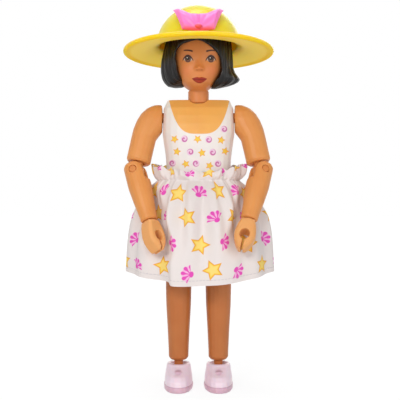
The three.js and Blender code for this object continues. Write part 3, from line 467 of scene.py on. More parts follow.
def cloth_print(surface, u, v):
    """Yellow stars and pink fan shells, tossed over white cloth."""
    (x, y), _, odd = tossed(surface, u, v, **CLOTH_PRINT)
    here = 1 - odd
    star = star_shape(x, y, STAR_R)
    surface.layer(star.inside(0.1) * here, STAR_EDGE)
    surface.layer((star - STAR_RIM).inside(0.14) * here, STAR)
    heart = star_shape(x, y, STAR_HEART_R)
    surface.layer(heart.inside(0.3) * here * 0.5, STAR_HEART)
    fan_y = y + FAN_FOOT
    radius = x.length(fan_y)
    turn = x.angle(fan_y)
    rib = (turn * FAN_RIBS).cos()
    rim = FAN_R + rib * 0.14
    fan = (rim - radius).least((FAN_HALF_ANGLE - turn.abs()) * radius).least(radius - 0.3)
    growth = (radius * 3.4).sin() * 0.35
    knob = FAN_KNOB_R - (x * 0.7).length(y + 1.4)
    surface.layer(fan.inside(0.1) * odd, SHELL_PALE)
    surface.layer(fan.inside(0.1) * (rib + growth + 0.2).inside(0.45) * odd, SHELL)
    surface.layer(knob.inside(0.1) * odd, SHELL)


def bodice_print(surface, x, z, front, room):
    """Small stars and whorls on the front of the bodice, where there is room for a whole one."""
    across, up = BODICE_SHIFT
    (u, v), centre, odd = tossed(surface, x + across, z + up, **BODICE_PRINT)
    mask = front * room(centre[0] - across, centre[1] - up)
    star = star_shape(u, v, SMALL_STAR_R)
    here = mask * (1 - odd)
    surface.layer(star.inside(0.08) * here, STAR_EDGE)
    surface.layer((star - SMALL_STAR_RIM).inside(0.1) * here, STAR)
    radius = u.length(v)
    disc = (WHORL_R - radius).inside(0.08)
    there = mask * odd
    surface.layer(disc * there, MAUVE_PALE)
    whorl = ((radius * 5.2 + u.angle(v)).sin() - 0.1).inside(0.5)
    surface.layer(disc * whorl * there, MAUVE)


def torso_material():
    """White plastic with a printed front and a painted neckline."""
    surface = Surface("bodice", WHITE)
    surface.mottle(size=8, amount=0.25, colour=WHITE_SHADE)
    surface.rough(size=3, low=0.44, high=0.56)
    x, y, z = surface.axes()

    def neckline(across):
        spread = ((across - NECKLINE["middle"]) / NECKLINE["half"]).abs()
        return spread.least(1.2).power(NECKLINE["power"]) * NECKLINE["rise"] + NECKLINE["low"]

    def room(across, height):
        beside = PRINT_HALF - (across - 0.2).abs()
        above = (height - RUFFLE_Z["front"] - PRINT_ABOVE_RUFFLE).inside()
        below = (neckline(across) - height - PRINT_BELOW_NECKLINE).inside()
        return below * beside.inside() * above

    front = y.step(0.3, -0.3)
    bodice_print(surface, x, z, front, room)
    chest = (z - neckline(x) - (1 - front) * NECKLINE_BEHIND).inside(0.16)
    surface.layer(chest, CHEST)
    surface.layer(chest * surface.noise(size=9).step(0.4, 0.8) * 0.3, SKIN)
    surface.bump(1 - chest, depth=0.05)
    surface.bump(surface.noise(size=0.5), depth=0.01)
    surface.glow_through(weight=0.1, radius=0.6)
    return surface.done()


def face_material():
    surface = skin("face", FACE, FACE_WARM)
    x, y, z = surface.axes()
    front = (-4.0 - y).inside(0.5)
    across = x - FACE_X
    blush = 1 - (across.abs() - CHEEK["x"]).length(z - CHEEK["z"]) / CHEEK["r"]
    surface.layer(blush.step(0.0, 1.0) * front * 0.35, BLUSH)
    paint_eyes(surface, across, z, front)
    paint_lips(surface, across / MOUTH_HALF, z - MOUTH_Z, front)
    nostril = NOSTRIL["r"] - (across.abs() - NOSTRIL["x"]).length((z - NOSE_Z + NOSTRIL["drop"]) * 1.6)
    surface.layer(nostril.inside(0.18) * front * 0.35, NOSTRIL_BROWN)
    return surface.done()


def paint_eyes(surface, across, z, front):
    """Eyes and brows, alike on both sides apart from the glint."""
    u = across.abs() - EYE_X
    v = z - EYE_Z - u * EYE_SLANT
    share = u / EYE_HALF
    t = share.most(-1.4).least(1.4)
    arch = 1 - t * t
    top = arch * EYE_TOP
    low = arch * -EYE_LOW
    opening = (top - v).least(v - low)
    seen = opening.inside(0.08)
    shade = 1 - (u / EYE_SHADE["wide"]).length((v - EYE_SHADE["up"]) / EYE_SHADE["tall"])
    surface.layer(shade.step(0.0, 0.8) * front * 0.5, EYE_SHADOW)
    surface.layer(seen * front, EYE_WHITE)
    # painted shadow of the upper lid across the top of the eye white
    surface.layer((v - top + 0.7).inside(0.4) * seen * front * 0.5, EYE_WHITE_PAINTED_SHADOW)
    iris = IRIS_R - u.length((v - 0.06) * 0.86)
    surface.layer(iris.least(opening).inside(0.08) * front, IRIS)
    glow = 0.55 - u.length((v + 0.35) * 1.1)
    surface.layer(glow.least(iris).inside(0.25) * seen * front * 0.55, IRIS_GLOW)
    pupil = PUPIL_R - u.length(v - 0.15)
    surface.layer(pupil.least(opening).inside(0.07) * front, PUPIL)
    side = across / across.abs()
    glint = GLINT_R - (across - side * EYE_X + 0.26).length(v - 0.48)
    surface.layer(glint.inside(0.06) * front, GLINT)
    lid = (LID_T - (v - top).abs()).least((1.16 - share.abs()) * 0.6)
    surface.layer(lid.inside(0.08) * front, LID)
    lash = (LASH_T - (v - low).abs()).least((0.95 - share.abs()) * 0.5)
    surface.layer(lash.inside(0.06) * front * 0.6, LASH)
    arc = z - BROW_Z - u * 0.12 + u * u * 0.07
    taper = (u + 1.4).most(0.0) * 0.04
    brow = (BROW_T - arc.abs() - taper).least((BROW_HALF - (u + 0.1).abs()) * 0.4)
    surface.layer(brow.inside(0.1) * front, BROW)


def paint_lips(surface, w, height, front):
    """Lips from the place across the mouth, -1 to 1, and the height over its middle."""
    m = height - w * w * 0.5
    span = (1 - w * w).most(-0.6)
    dip = (w * 5.0) * (w * 5.0) * -1.0
    cupid = 1 - dip.math("EXPONENT") * 0.24
    lips = (span * cupid * LIP_TOP - m).least(m + span * LIP_LOW)
    surface.layer(lips.inside(0.12) * front, LIPS)
    # painted highlight: a lighter patch on the lower lip
    lip_highlight = 1 - (w / 0.5).length((m + 0.55) / 0.35)
    surface.layer(lip_highlight.step(0.0, 0.9) * front * 0.35, LIPS_PAINTED_HIGHLIGHT)
    parting = 0.1 - (m + (w * w - 0.4) * 0.1).abs()
    surface.layer(parting.least(lips).inside(0.08) * front * 0.8, LIPS_PARTING)


def cloth_material():
    """Printed woven cloth, laid out flat in u and v, with v up from the hem."""
    surface = Surface("printed_cloth", CLOTH, roughness=0.85)
    u, v, _ = surface.axes(surface.uv, 1.0)
    cloth_print(surface, u, v)
    stitch = (STITCH_HALF - (v - HEM_SEAM).abs()).inside(0.05)
    dashes = ((u * STITCHES).sin() + 0.4).inside(0.4)
    surface.layer(stitch * dashes * 0.45, THREAD)
    weave = (u * THREADS).sin() * (v * THREADS).sin() * 0.5 + 0.5
    turned_edge = 1 - (v - HEM_SEAM).step(-0.1, 0.1)
    surface.bump(weave, depth=0.02)
    surface.bump(surface.noise(size=3.0, detail=3.0), depth=0.12)
    surface.bump(turned_edge, depth=0.12)
    surface.shine(0.15)
    return surface.done()


def elastic_material():
    surface = Surface("elastic", ELASTIC, roughness=0.85)
    height = surface.axes()[2]
    ribs = (height * ELASTIC_RIBS).wave()
    surface.layer(ribs * 0.2, ELASTIC_SHADE)
    surface.bump(ribs, depth=0.06)
    return surface.done()


def hat_material():
    """Glossy yellow plastic, duller under the brim, with painted light that makes it paler there and painted
    shade round the brim's edge.
    """
    surface = Surface("hat_yellow", HAT)
    surface.mottle(size=14, amount=0.25, colour=HAT_WARM)
    surface.bump(surface.noise(size=0.9), depth=0.012)
    surface.glow_through(weight=1.0, radius=3.0, share=(1, 0.7, 0.15))
    _, _, up = surface.axes(surface.facing, 1.0)
    over = up.step(-0.5, -0.1)
    x, y, _ = surface.axes()
    # painted light: surfaces that face down, under the brim, are painted a paler yellow
    surface.layer((1 - over) * 0.8, HAT_UNDER_PAINTED_LIGHT)
    # painted shade: a darker, deeper yellow band round the outer edge of the brim
    edge = x.length(y).step(BRIM_R - 3.6, BRIM_R - 1.6)
    surface.layer(edge * 0.85, HAT_EDGE_PAINTED_SHADE)
    surface.drive("Roughness", 0.62 - over * 0.36 + surface.noise(size=6) * 0.06)
    surface.shine(0.28)
    surface.shader.inputs["Coat Weight"].default_value = 0.1
    surface.shader.inputs["Coat Roughness"].default_value = 0.12
    return surface.done()


def bow_material():
    surface = Surface("bow_pink", BOW)
    surface.mottle(size=3, amount=0.3, colour=BOW_DEEP)
    across, up, _ = surface.axes(surface.uv, 1.0)
    # painted shade and painted reflection of the yellow hat: orange-red along the bow's lower edge
    surface.layer((-3.9 - up).step(0.0, 1.3) * 0.85, BOW_EDGE_PAINTED_SHADE_AND_REFLECTION)
    # painted shade: a darker line in the crease down the middle of the bow
    crease = (0.16 - (across - 0.2).abs()).inside(0.16) * (up + 3.0).step(0.0, 0.6)
    surface.layer(crease * 0.5, BOW_CREASE_PAINTED_SHADE)
    surface.rough(size=2, low=0.3, high=0.42)
    surface.bump(surface.noise(size=0.4), depth=0.012)
    surface.glow_through(weight=0.1, radius=0.6)
    return surface.done()


def hair_material():
    surface = Surface("hair_black", HAIR)
    x, y, z = surface.axes()
    around = y.angle(x)
    wander = surface.noise(size=6) * 3.0
    strands = (around * STRANDS + wander + z * 0.35).wave()
    fine = (around * FINE_STRANDS + wander * 2.0 - z * 0.2).wave()
    surface.layer(strands * 0.3, HAIR_SHEEN)
    surface.bump(strands * 0.65 + fine * 0.35, depth=0.12)
    surface.rough(size=2, low=0.26, high=0.38)
    surface.shine(0.32)
    return surface.done()


def shoe_material():
    surface = Surface("shoe_pink", SHOE)
    surface.mottle(size=5, amount=0.3, colour=SHOE_WARM)
    surface.rough(size=3, low=0.28, high=0.4)
    x, y, z = surface.axes()
    sole = (SOLE_H - z).inside(0.1)
    # painted shade: the band under SOLE_H is darker, for the shade on the rounded underside of the shoe
    surface.layer(sole * 0.75, SHOE_SOLE_PAINTED_SHADE)
    seam = (0.16 - (z - SOLE_H - 0.1).abs()).inside(0.1)
    surface.layer(seam * 0.6, SHOE_SEAM)
    # painted shade at the knot on the front of the shoe
    knot = SHOE_KNOT_R - ((x.abs() - SHOE_X) * 0.6).length(z - SHOE_KNOT_Z)
    surface.layer(knot.inside(0.3) * y.step(0.0, -0.5) * 0.6, SHOE_KNOT_PAINTED_SHADE)
    tread = (y * TREADS).wave() * sole
    surface.bump(tread, depth=0.05)
    surface.bump(surface.noise(size=0.5), depth=0.01)
    surface.glow_through(weight=0.1, radius=0.6)
    return surface.done()


def inner_material():
    surface = Surface("inner_plastic", INNER)
    surface.mottle(size=4, amount=0.3, colour=INNER_SHADE)
    surface.rough(size=2, low=0.48, high=0.62)
    surface.bump(surface.noise(size=0.4), depth=0.01)
    return surface.done()


def grid_faces(rows, columns, wrap):
    """Four-sided faces between the points of a grid, closed to a ring with wrap."""
    faces = []
    for i in range(rows - 1):
        for j in range(columns if wrap else columns - 1):
            k = (j + 1) % columns
            faces.append((i * columns + j, i * columns + k, (i + 1) * columns + k, (i + 1) * columns + j))
    return faces


def capped_faces(rows, columns):
    """Faces of rings on top of each other, with the first and the last ring closed."""
    faces = grid_faces(rows, columns, True)
    faces.append(tuple(range(columns - 1, -1, -1)))
    faces.append(tuple((rows - 1) * columns + j for j in range(columns)))
    return faces


def add_object(name, data):
    made = bpy.data.objects.new(name, data)
    bpy.context.scene.collection.objects.link(made)
    return made


def piece(name, points, faces, material):
    """Smooth mesh from points in millimetres."""
    mesh = bpy.data.meshes.new(name)
    mesh.from_pydata((np.asarray(points) * MM).tolist(), [], faces)
    mesh.update()
    mesh.polygons.foreach_set("use_smooth", [True] * len(mesh.polygons))
    mesh.materials.append(material)
    made = add_object(name, mesh)
    return made


def smooth(x, low, high):
    """0 below low, 1 above high, smooth between."""
    t = np.clip((x - low) / (high - low), 0, 1)
    return t * t * (3 - 2 * t)


def through(rows, level):
    """Smooth values between the rows of a table whose first column is the level."""
    table = np.array(rows)
    z = table[:, 0]
    slope = np.empty_like(table[:, 1:])
    for i in range(len(z)):
        low, high = max(i - 1, 0), min(i + 1, len(z) - 1)
        slope[i] = (table[high, 1:] - table[low, 1:]) / (z[high] - z[low])
    i = np.clip(np.searchsorted(z, level) - 1, 0, len(z) - 2)
    span = (z[i + 1] - z[i])[:, None]
    t = np.clip((level - z[i])[:, None] / span, 0, 1)
    a, b = table[i, 1:], table[i + 1, 1:]
    rise = (t ** 3 - 2 * t * t + t) * span * slope[i] + (t ** 3 - t * t) * span * slope[i + 1]
    return (2 * t ** 3 - 3 * t * t + 1) * a + (3 * t * t - 2 * t ** 3) * b + rise


def rounded(angle, half, front, back, power):
    """Level boxy oval: x and y at each angle."""
    c, s = np.cos(angle), np.sin(angle)
    x = np.sign(c) * np.abs(c) ** (2 / power) * half
    y = np.sign(s) * np.abs(s) ** (2 / power) * np.where(s < 0, front, back)
    return x, y


# head sections: height over the head's from the chin, half width, front and back over HEAD_HALF
HEAD_SECTIONS = [
    (-0.01, 0.3, 0.62, 0.38), (0.015, 0.38, 0.79, 0.42), (0.065, 0.5, 0.87, 0.52), (0.135, 0.645, 0.9, 0.67),
    (0.24, 0.8, 0.92, 0.83), (0.345, 0.91, 0.91, 0.95), (0.45, 0.98, 0.93, 1.02), (0.555, 1.0, 0.945, 1.05),
    (0.66, 0.98, 0.92, 1.03), (0.77, 0.91, 0.85, 0.955), (0.87, 0.76, 0.7, 0.8), (0.94, 0.56, 0.52, 0.59),
    (0.985, 0.3, 0.27, 0.31), (1.0, 0.1, 0.09, 0.1),
]
HEAD_POWER = 2.15
CHIN_LIFT = 0.9
SKULL_EASE = 0.045
DOME_LEVEL = 0.67
NOSE_RIDGE = {"high": 1.15, "power": 1.3, "half": 0.75, "widening": 0.45, "end": (-1.15, -0.35)}
# relief of the face: height, place across and up, reach across and up, off the middle on both sides
FACE_RELIEF = {
    "nose_tip": (0.45, 0, NOSE_Z, 1.1, 0.8),
    "nostril": (0.4, 1.25, NOSE_Z - 0.35, 0.6, 0.6),
    "upper_lip": (0.42, 0, MOUTH_Z + 0.5, 2.3, 0.6),
    "lower_lip": (0.5, 0, MOUTH_Z - 0.55, 2.0, 0.62),
    "parting": (-0.3, 0, MOUTH_Z, 2.6, 0.2),
    "chin": (0.45, 0, CHIN_Z + 0.6, 2.2, 1.2),
    "socket": (-0.5, EYE_X, EYE_Z + 0.2, 2.3, 1.5),
    "eyeball": (0.28, EYE_X, EYE_Z, 1.5, 0.85),
    "lid": (0.12, EYE_X, EYE_Z + 1.0, 1.7, 0.25),
    "cheek": (0.25, 5.0, CHEEK["z"], 2.2, 2.2),
}


def face_relief(x, z):
    """How far the face stands forward of the plain head, in millimetres."""
    bridge = np.clip((BRIDGE_Z - z) / (BRIDGE_Z - NOSE_Z), 0, 1)
    below = smooth(z - NOSE_Z, *NOSE_RIDGE["end"])
    half = NOSE_RIDGE["half"] + NOSE_RIDGE["widening"] * bridge
    relief = NOSE_RIDGE["high"] * bridge ** NOSE_RIDGE["power"] * below * np.exp(-(x / half) ** 2)
    for high, across, up, wide, tall in FACE_RELIEF.values():
        for place in sorted({-across, across}):
            relief += high * np.exp(-((x - place) / wide) ** 2 - ((z - up) / tall) ** 2)
    return relief


def make_head(material):
    columns, rows, neck_rows = 300, 150, 10
    angle = np.linspace(0, 2 * math.pi, columns, endpoint=False)
    share = np.linspace(0, 1, rows)
    below = 0.75  # share of the rings under the dome
    lowest = HEAD_SECTIONS[0][0]
    dome = DOME_LEVEL + (1 - DOME_LEVEL) * np.sin((share - below) / (1 - below) * math.pi / 2)
    level = np.where(share < below, lowest + (DOME_LEVEL - lowest) * share / below, dome)
    half, front, back = (through(HEAD_SECTIONS, level) * HEAD_HALF).T
    x, y = rounded(angle[None, :], half[:, None], front[:, None], back[:, None], HEAD_POWER)
    # under the hair the skull keeps clear of the grooves between the locks
    covered = (1 - smooth(-np.sin(angle), 0.55, 0.8))[None, :] * smooth(level, 0.42, 0.55)[:, None]
    x = x * (1 - SKULL_EASE * covered)
    y = y * (1 - SKULL_EASE * covered)
    height = CHIN_Z + level * HEAD_H + CHIN_LIFT * (1 - smooth(level, 0.0, 0.12))
    z = np.repeat(height[:, None], columns, 1)
    facing = smooth(-y, 2.0, 6.0)
    y = y - facing * face_relief(x - FACE_X, z)
    neck_z = np.linspace(NECK_Z, CHIN_Z + CHIN_LIFT - 0.7, neck_rows)[:, None]
    neck = np.stack(np.broadcast_arrays(NECK_R * np.cos(angle), NECK_R * np.sin(angle), neck_z), -1)
    points = np.concatenate([neck, np.stack([x, y, z], -1)])
    faces = capped_faces(len(points), columns)
    made = piece("head_moulding", points.reshape(-1, 3), faces, material)
    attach(made, "head")
    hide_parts("head")


# the moulded hair, in millimetres
HAIR_LINING = 0.7
HAIR_GROOVE = 0.14
GROOVES_TOP_Z = 134.0
SWAY = {"by": 0.5, "per_mm": 0.22, "round": 2, "slant": 0.02}
BRUSHED = {"x": -5.5, "z": 122.0, "wide": 2.4, "tall": 3.8, "by": 1.35}
# locks round the hair: height, number, how much they sway, start
LOCKS = [(1.0, 19, 3, 0), (0.6, 31, -2, 1), (0.4, 47, 0, 2)]
WELD_M = 1e-6


def remeshed(mesh, voxel, rounds):
    """The mesh with its edges rounded as a moulding has them."""
    scratch = add_object("scratch", mesh)
    mould(scratch, voxel, rounds)
    seen = scratch.evaluated_get(bpy.context.evaluated_depsgraph_get())
    mesh = bpy.data.meshes.new_from_object(seen)
    bpy.data.objects.remove(scratch)
    return mesh


def mould(target, voxel, rounds):
    """Rounds the edges, with voxels in millimetres."""
    remesh = target.modifiers.new("round", "REMESH")
    remesh.mode = "VOXEL"
    remesh.voxel_size = voxel * MM
    remesh.use_smooth_shade = True
    ease = target.modifiers.new("ease", "SMOOTH")
    ease.factor = 0.5
    ease.iterations = rounds


def points_of(mesh):
    """Points of a mesh, in millimetres, and their normals."""
    points = np.empty(len(mesh.vertices) * 3)
    normals = np.empty(len(mesh.vertices) * 3)
    mesh.vertices.foreach_get("co", points)
    mesh.vertices.foreach_get("normal", normals)
    return points.reshape(-1, 3) / MM, normals.reshape(-1, 3)


def lined_hair():
    """Copy of the hair's CAD mesh, thicker towards the skull, so that no groove goes through its wall."""
    mesh = frame["nodes"]["hair"].data.copy()
    welded = bmesh.new()
    welded.from_mesh(mesh)
    bmesh.ops.remove_doubles(welded, verts=welded.verts, dist=WELD_M)
    welded.to_mesh(mesh)
    welded.free()
    points, normals = points_of(mesh)
    out = -inward(points)
    inner = smooth(-(normals * out).sum(1), 0.2, 0.7)
    mesh.vertices.foreach_set("co", ((points - out * (HAIR_LINING * inner)[:, None]) * MM).ravel())
    mesh.update()
    return mesh


def make_hair(material):
    mesh = remeshed(lined_hair(), HAIR_VOXEL, HAIR_ROUNDS)
    points, normals = points_of(mesh)
    # on the doll's right the hair is brushed back from the forehead
    across = (points[:, 0] - BRUSHED["x"]) / BRUSHED["wide"]
    up = (points[:, 2] - BRUSHED["z"]) / BRUSHED["tall"]
    points[:, 0] -= BRUSHED["by"] * np.exp(-across ** 2 - up ** 2) * smooth(-points[:, 1], 2.0, 6.0)
    around = np.arctan2(points[:, 1], points[:, 0])
    out = -inward(points)
    outer = smooth((normals * out).sum(1), 0.1, 0.6) * smooth(GROOVES_TOP_Z - points[:, 2], 0, 6)
    rise = points[:, 2] - NECK_Z
    sway = SWAY["by"] * np.sin(SWAY["per_mm"] * rise + SWAY["round"] * around) + SWAY["slant"] * rise
    lock = sum(high * np.cos(count * around + bend * sway + start) for high, count, bend, start in LOCKS)
    points += normals * (HAIR_GROOVE * outer * lock)[:, None]
    mesh.vertices.foreach_set("co", (points * MM).ravel())
    mesh.update()
    mesh.materials.clear()
    mesh.materials.append(material)
    made = add_object("hair_moulding", mesh)
    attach(made, "head")
    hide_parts("hair")


def hat_place(points):
    """From the hat's own frame, at the centre of its brim edge, to the doll's."""
    c, s = math.cos(-HAT_TILT), math.sin(-HAT_TILT)
    x, y, z = points[..., 0], points[..., 1], points[..., 2]
    return np.stack([x, c * y - s * z, s * y + c * z + HAT_Z], -1)


def hat_profile():
    """Section of the hat from the top of the crown, over the brim and lip, back inside to the peg."""
    def arc(radius, start, end, steps):
        angle = np.radians(np.linspace(start, end, steps))
        return np.stack([radius * np.cos(angle), BRIM_RISE + radius * np.sin(angle)], -1)

    inner = CROWN_R - HAT_WALL
    brim = BRIM_R - CROWN_R
    top = arc(CROWN_R, 90, CROWN_FOOT, 36)
    sweep = np.linspace(0, 1, 30)
    knots = [0, 0.06, 0.3, 0.65, 1]
    reach = CROWN_R + brim * np.interp(sweep, knots, [*knots[:-1], 1 - 1.6 * LIP_R / brim])
    foot_z = BRIM_RISE * math.sin(math.radians(CROWN_FOOT)) + BRIM_RISE
    rises = [foot_z + 0.4, BRIM_RISE + 0.75, BRIM_RISE + 0.25, BRIM_RISE - 0.25, LIP_R]
    height = through(list(zip(knots, rises)), sweep)[:, 0]
    over = np.stack([reach, height], -1)[2:]
    angle = np.radians(np.linspace(80, -100, 16))
    lip = np.stack([BRIM_R - LIP_R + LIP_R * np.cos(angle), LIP_R * np.sin(angle)], -1)
    under = np.stack([reach, height - HAT_WALL], -1)[::-1][3:-3]
    dome = arc(inner, 2, 84, 30)
    ceiling = BRIM_RISE + inner
    end = ceiling - HAT_PEG_L
    bevel = 0.5
    peg = np.array([
        [HAT_PEG_R, ceiling - 0.1], [HAT_PEG_R, end + bevel], [HAT_PEG_R - bevel, end], [0.01, end],
    ])
    return np.concatenate([top, over, lip, under, dome, peg])


def make_hat(material):
    profile = hat_profile()
    rows, columns = len(profile), 160
    angle = np.linspace(0, 2 * math.pi, columns, endpoint=False)
    radius, height = profile[:, :1], profile[:, 1:]
    points = np.stack(np.broadcast_arrays(radius * np.cos(angle), radius * np.sin(angle), height), -1)
    faces = [tuple(reversed(face)) for face in grid_faces(rows, columns, True)]
    faces.append(tuple((rows - 1) * columns + j for j in range(columns)))
    made = piece("sun_hat", hat_place(points).reshape(-1, 3), faces, material)
    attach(made, "hat")
    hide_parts("hat")


def bow_place(points):
    """From the bow's own frame, z out of the crown and y up along it, to the doll's."""
    turn = math.pi / 2 - BOW_ANGLE
    c, s = math.cos(turn), math.sin(turn)
    x, y, z = points[..., 0], points[..., 1], points[..., 2]
    placed = np.stack([
        x, c * y - s * z - CROWN_R * math.cos(BOW_ANGLE),
        s * y + c * z + CROWN_R * math.sin(BOW_ANGLE) + BRIM_RISE,
    ], -1)
    return hat_place(placed)


def ball(reach, centre, rows=20, columns=32):
    """Points and faces of a ball with its own reach along each axis."""
    pole = math.pi / 2 - 0.05
    turn = np.linspace(0, 2 * math.pi, columns, endpoint=False)
    rise = np.linspace(-pole, pole, rows)[:, None]
    level = np.cos(rise)
    points = np.stack(np.broadcast_arrays(level * np.cos(turn), level * np.sin(turn), np.sin(rise)), -1)
    return (points * reach + centre).reshape(-1, 3), capped_faces(rows, columns)


def make_bow(material):
    rows, columns = 81, 48
    t = np.linspace(-1, 1, rows)[:, None]
    angle = np.linspace(0, 2 * math.pi, columns, endpoint=False)[None, :]
    spread = smooth(np.abs(t), *BOW_SPREAD)
    tip = np.cos(math.pi / 2 * smooth(np.abs(t), *BOW_TIP))
    top = BOW_TOP["middle"] + (BOW_TOP["wing"] - BOW_TOP["middle"]) * spread
    low = BOW_LOW["middle"] + (BOW_LOW["wing"] - BOW_LOW["middle"]) * t * t
    thick = BOW_T * (0.7 + 0.3 * spread) * (0.3 + 0.7 * tip)
    up = np.cos(angle) * np.where(np.cos(angle) > 0, top, low)
    x = t * (BOW_HALF + BOW_SHEAR * up)
    fan = np.arctan2(up + 6.0, np.abs(x) + 0.6)
    crease = BOW_CREASE_T * np.cos(BOW_CREASES * fan) * smooth(np.abs(t), 0.08, 0.4) * tip
    dent = BOW_DENT["depth"] * np.exp(-(t / BOW_DENT["half"]) ** 2)
    crown = np.sqrt((CROWN_R + BOW_GAP) ** 2 - (BOW_HUG * x) ** 2 - up * up) - CROWN_R
    lift = np.clip(np.sin(angle), 0, 1) * (thick + crease - dent)
    points = np.stack([x, up, crown + lift], -1)
    faces = capped_faces(rows, columns)
    made = piece("bow", bow_place(points).reshape(-1, 3), faces, material)
    lay_out(made, points[..., :2].reshape(-1, 2))
    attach(made, "hat")
    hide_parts("hat_bow")
    knot_points, knot_faces = ball(BOW_KNOT, (0, -0.84 * BOW_LOW["middle"], 0.6 * BOW_T))
    knot = piece("bow_knot", bow_place(knot_points), knot_faces, material)
    lay_out(knot, knot_points[:, :2])
    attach(knot, "hat")


def lay_out(made, flat):
    """Gives each point its place on the flat pattern, in millimetres."""
    loops = np.empty(len(made.data.loops), int)
    made.data.loops.foreach_get("vertex_index", loops)
    made.data.uv_layers.new(name="flat").data.foreach_set("uv", flat[loops].ravel())
    return loops


def fold(angle):
    """Uneven folds round the skirt, from -1 in a valley to 1 on a crest."""
    turn = angle + math.pi / 2
    drift = sum(amount * np.sin(times * turn) for amount, times in FOLD_DRIFT)
    share = 1 - FOLD_UNEVEN * (1 - np.cos(3 * turn + 0.5))
    return -np.cos(FOLDS * turn + drift) * share


def fold_share(fall):
    """Folds start under the gather, are deepest above the middle and ease towards the hem."""
    return np.minimum(1, np.abs(fall) * 2.5) * (1 - 0.6 * smooth(fall, 0.35, 1))


def arm_rests():
    """Balls along each forearm and hand that the cloth stays clear of."""
    rests = []
    for side in SIDES:
        elbow = np.array(JOINTS[f"{side}_elbow_bend"]["pos_m"]) / MM
        wrist = np.array(JOINTS[f"{side}_wrist_turn"]["pos_m"]) / MM
        down = -np.array(JOINTS[f"{side}_wrist_turn"]["axis"])
        for t in np.linspace(0.1, 1, 7):
            rests.append((elbow + (wrist - elbow) * t, FOREARM_HALF + CLOTH_CLEAR))
        for t in np.linspace(0.2, 0.95, 6):
            rests.append((wrist + down * HAND_L * t, HAND_HALF + CLOTH_CLEAR))
    return rests


# flare of the skirt from the gather, 0, to the hem, 1
SKIRT_SECTIONS = [(0, 0), (0.09, 0.27), (0.22, 0.52), (0.36, 0.72), (0.55, 0.86), (0.78, 0.95), (1, 1)]
RUFFLE_FLARE = 0.11
TUCK_AT = -0.39
TUCK_EDGE = 0.03
TUCK_HALF = 0.3
TUCK_FALL = (0.4, 0.85)
TUCK_DEPTH = 0.9
TUCK_STEP = 0.6
GATHER_DEPTH = 0.42
GATHER_REACH = {"ruffle": 1.2, "skirt": 0.19}
GATHER_PINCH = 0.35
PINCH_REACH = 0.05
CREASE_DEPTH = 1.4
CREASE_FALL = 0.38
CREASE_REACH = 0.36
# waves round the skirt: height, number, how much and how often they drift, start
GATHERS = [(0.5, 47, 1.5, 5, 0), (0.35, 29, 2, 3, 1)]
DRAPES = [(1.0, 23, 2, 2, 0.6), (0.5, 13, 0, 0, 2)]
LOBES = [(0.7, 23, 2, 4, 0)]
FRILLS = [(0.5, 31, 1.3, 6, 0)]
FALL_FLAT = 35.0
RUFFLE_FLAT = 4.6
PATTERN_SHARE = 0.92
# where the cloth would give way to a thigh, in a share that is worked out and not used: from the middle, to
# the side, to the back and from the top
LAP_MIDDLE = (0.2, 3.2)
LAP_SIDE = (11.0, 17.5)
LAP_BACK = (-7.0, 4.0)
LAP_TOP = (-74.0, -56.0)
LAP_SHARE = 0.95


def waves(angle, rows):
    """Sum of the waves of a table at each angle round the doll."""
    return sum(
        high * np.cos(count * angle + drift * np.sin(times * angle) + start)
        for high, count, drift, times, start in rows
    )


def level_round(heights, angle):
    """Height of an edge round the doll, from its heights in front, at the sides and behind."""
    s = np.sin(angle)
    return heights["side"] + (np.where(s < 0, heights["front"], heights["back"]) - heights["side"]) * s * s


def tucked(angle, fall):
    """A tuck in front, on the doll's right: -1 on the side that lies under, 1 on the side over it."""
    off = angle + math.pi / 2 - TUCK_AT
    return np.tanh(off / TUCK_EDGE) * np.exp(-(off / TUCK_HALF) ** 2) * smooth(fall, *TUCK_FALL)


def skirt_points(angle, fall):
    """Grid of cloth points from the ruffle, fall -1, over the gather, 0, to the hem, 1."""
    a, f = angle[None, :], fall[:, None]
    below = np.clip(f, 0, 1)
    above = np.clip(-f, 0, 1)
    standing = RUFFLE_FLARE * (1 - (1 - above) ** 3)
    flare = np.where(f < 0, standing, through(SKIRT_SECTIONS, below.ravel()).reshape(below.shape))
    wx, wy = rounded(a, WAIST["half"], WAIST["front"], WAIST["back"], WAIST_POWER)
    hx = np.cos(a) * HEM_HALF + HEM_SWAY
    hy = np.sin(a) * HEM_DEPTH
    folds = 1 + FOLD_DEPTH * fold(a) * fold_share(f)
    x = (wx + (hx - wx) * flare) * folds
    y = (wy + (hy - wy) * flare) * folds
    reach = np.where(f < 0, GATHER_REACH["ruffle"], GATHER_REACH["skirt"])
    gather = GATHER_DEPTH * waves(a, GATHERS) * np.exp(-(f / reach) ** 2)
    drape = CREASE_DEPTH * np.exp(-((f - CREASE_FALL) / CREASE_REACH) ** 2)
    crease = drape * waves(a, DRAPES) * np.sin(a) ** 2
    tuck = tucked(a, f)
    size = np.hypot(x, y)
    pull = 1 + (gather + crease + waves(a, LOBES) * above + TUCK_DEPTH * tuck) / size
    pinch = 1 - GATHER_PINCH * np.exp(-(f / PINCH_REACH) ** 2) / size
    x = x * pull * pinch
    y = y * pull * pinch
    hem = level_round(HEM_Z, a) - TUCK_STEP * tuck
    ruffle = WAIST_Z + (level_round(RUFFLE_Z, a) - WAIST_Z) * above + waves(a, FRILLS) * above
    z = np.where(f < 0, ruffle, WAIST_Z + (hem - WAIST_Z) * below)
    points = np.stack(np.broadcast_arrays(x, y, z), -1)
    soft = softened(push_of(points, PRESS_EASE), 10)
    points = points + inward(points) * soft[..., None]
    return points + inward(points) * push_of(points, 0.0)[..., None]


def inward(points):
    """Level direction from each point to the doll's axis."""
    level = -points * (1, 1, 0)
    return level / np.linalg.norm(level, axis=-1, keepdims=True)


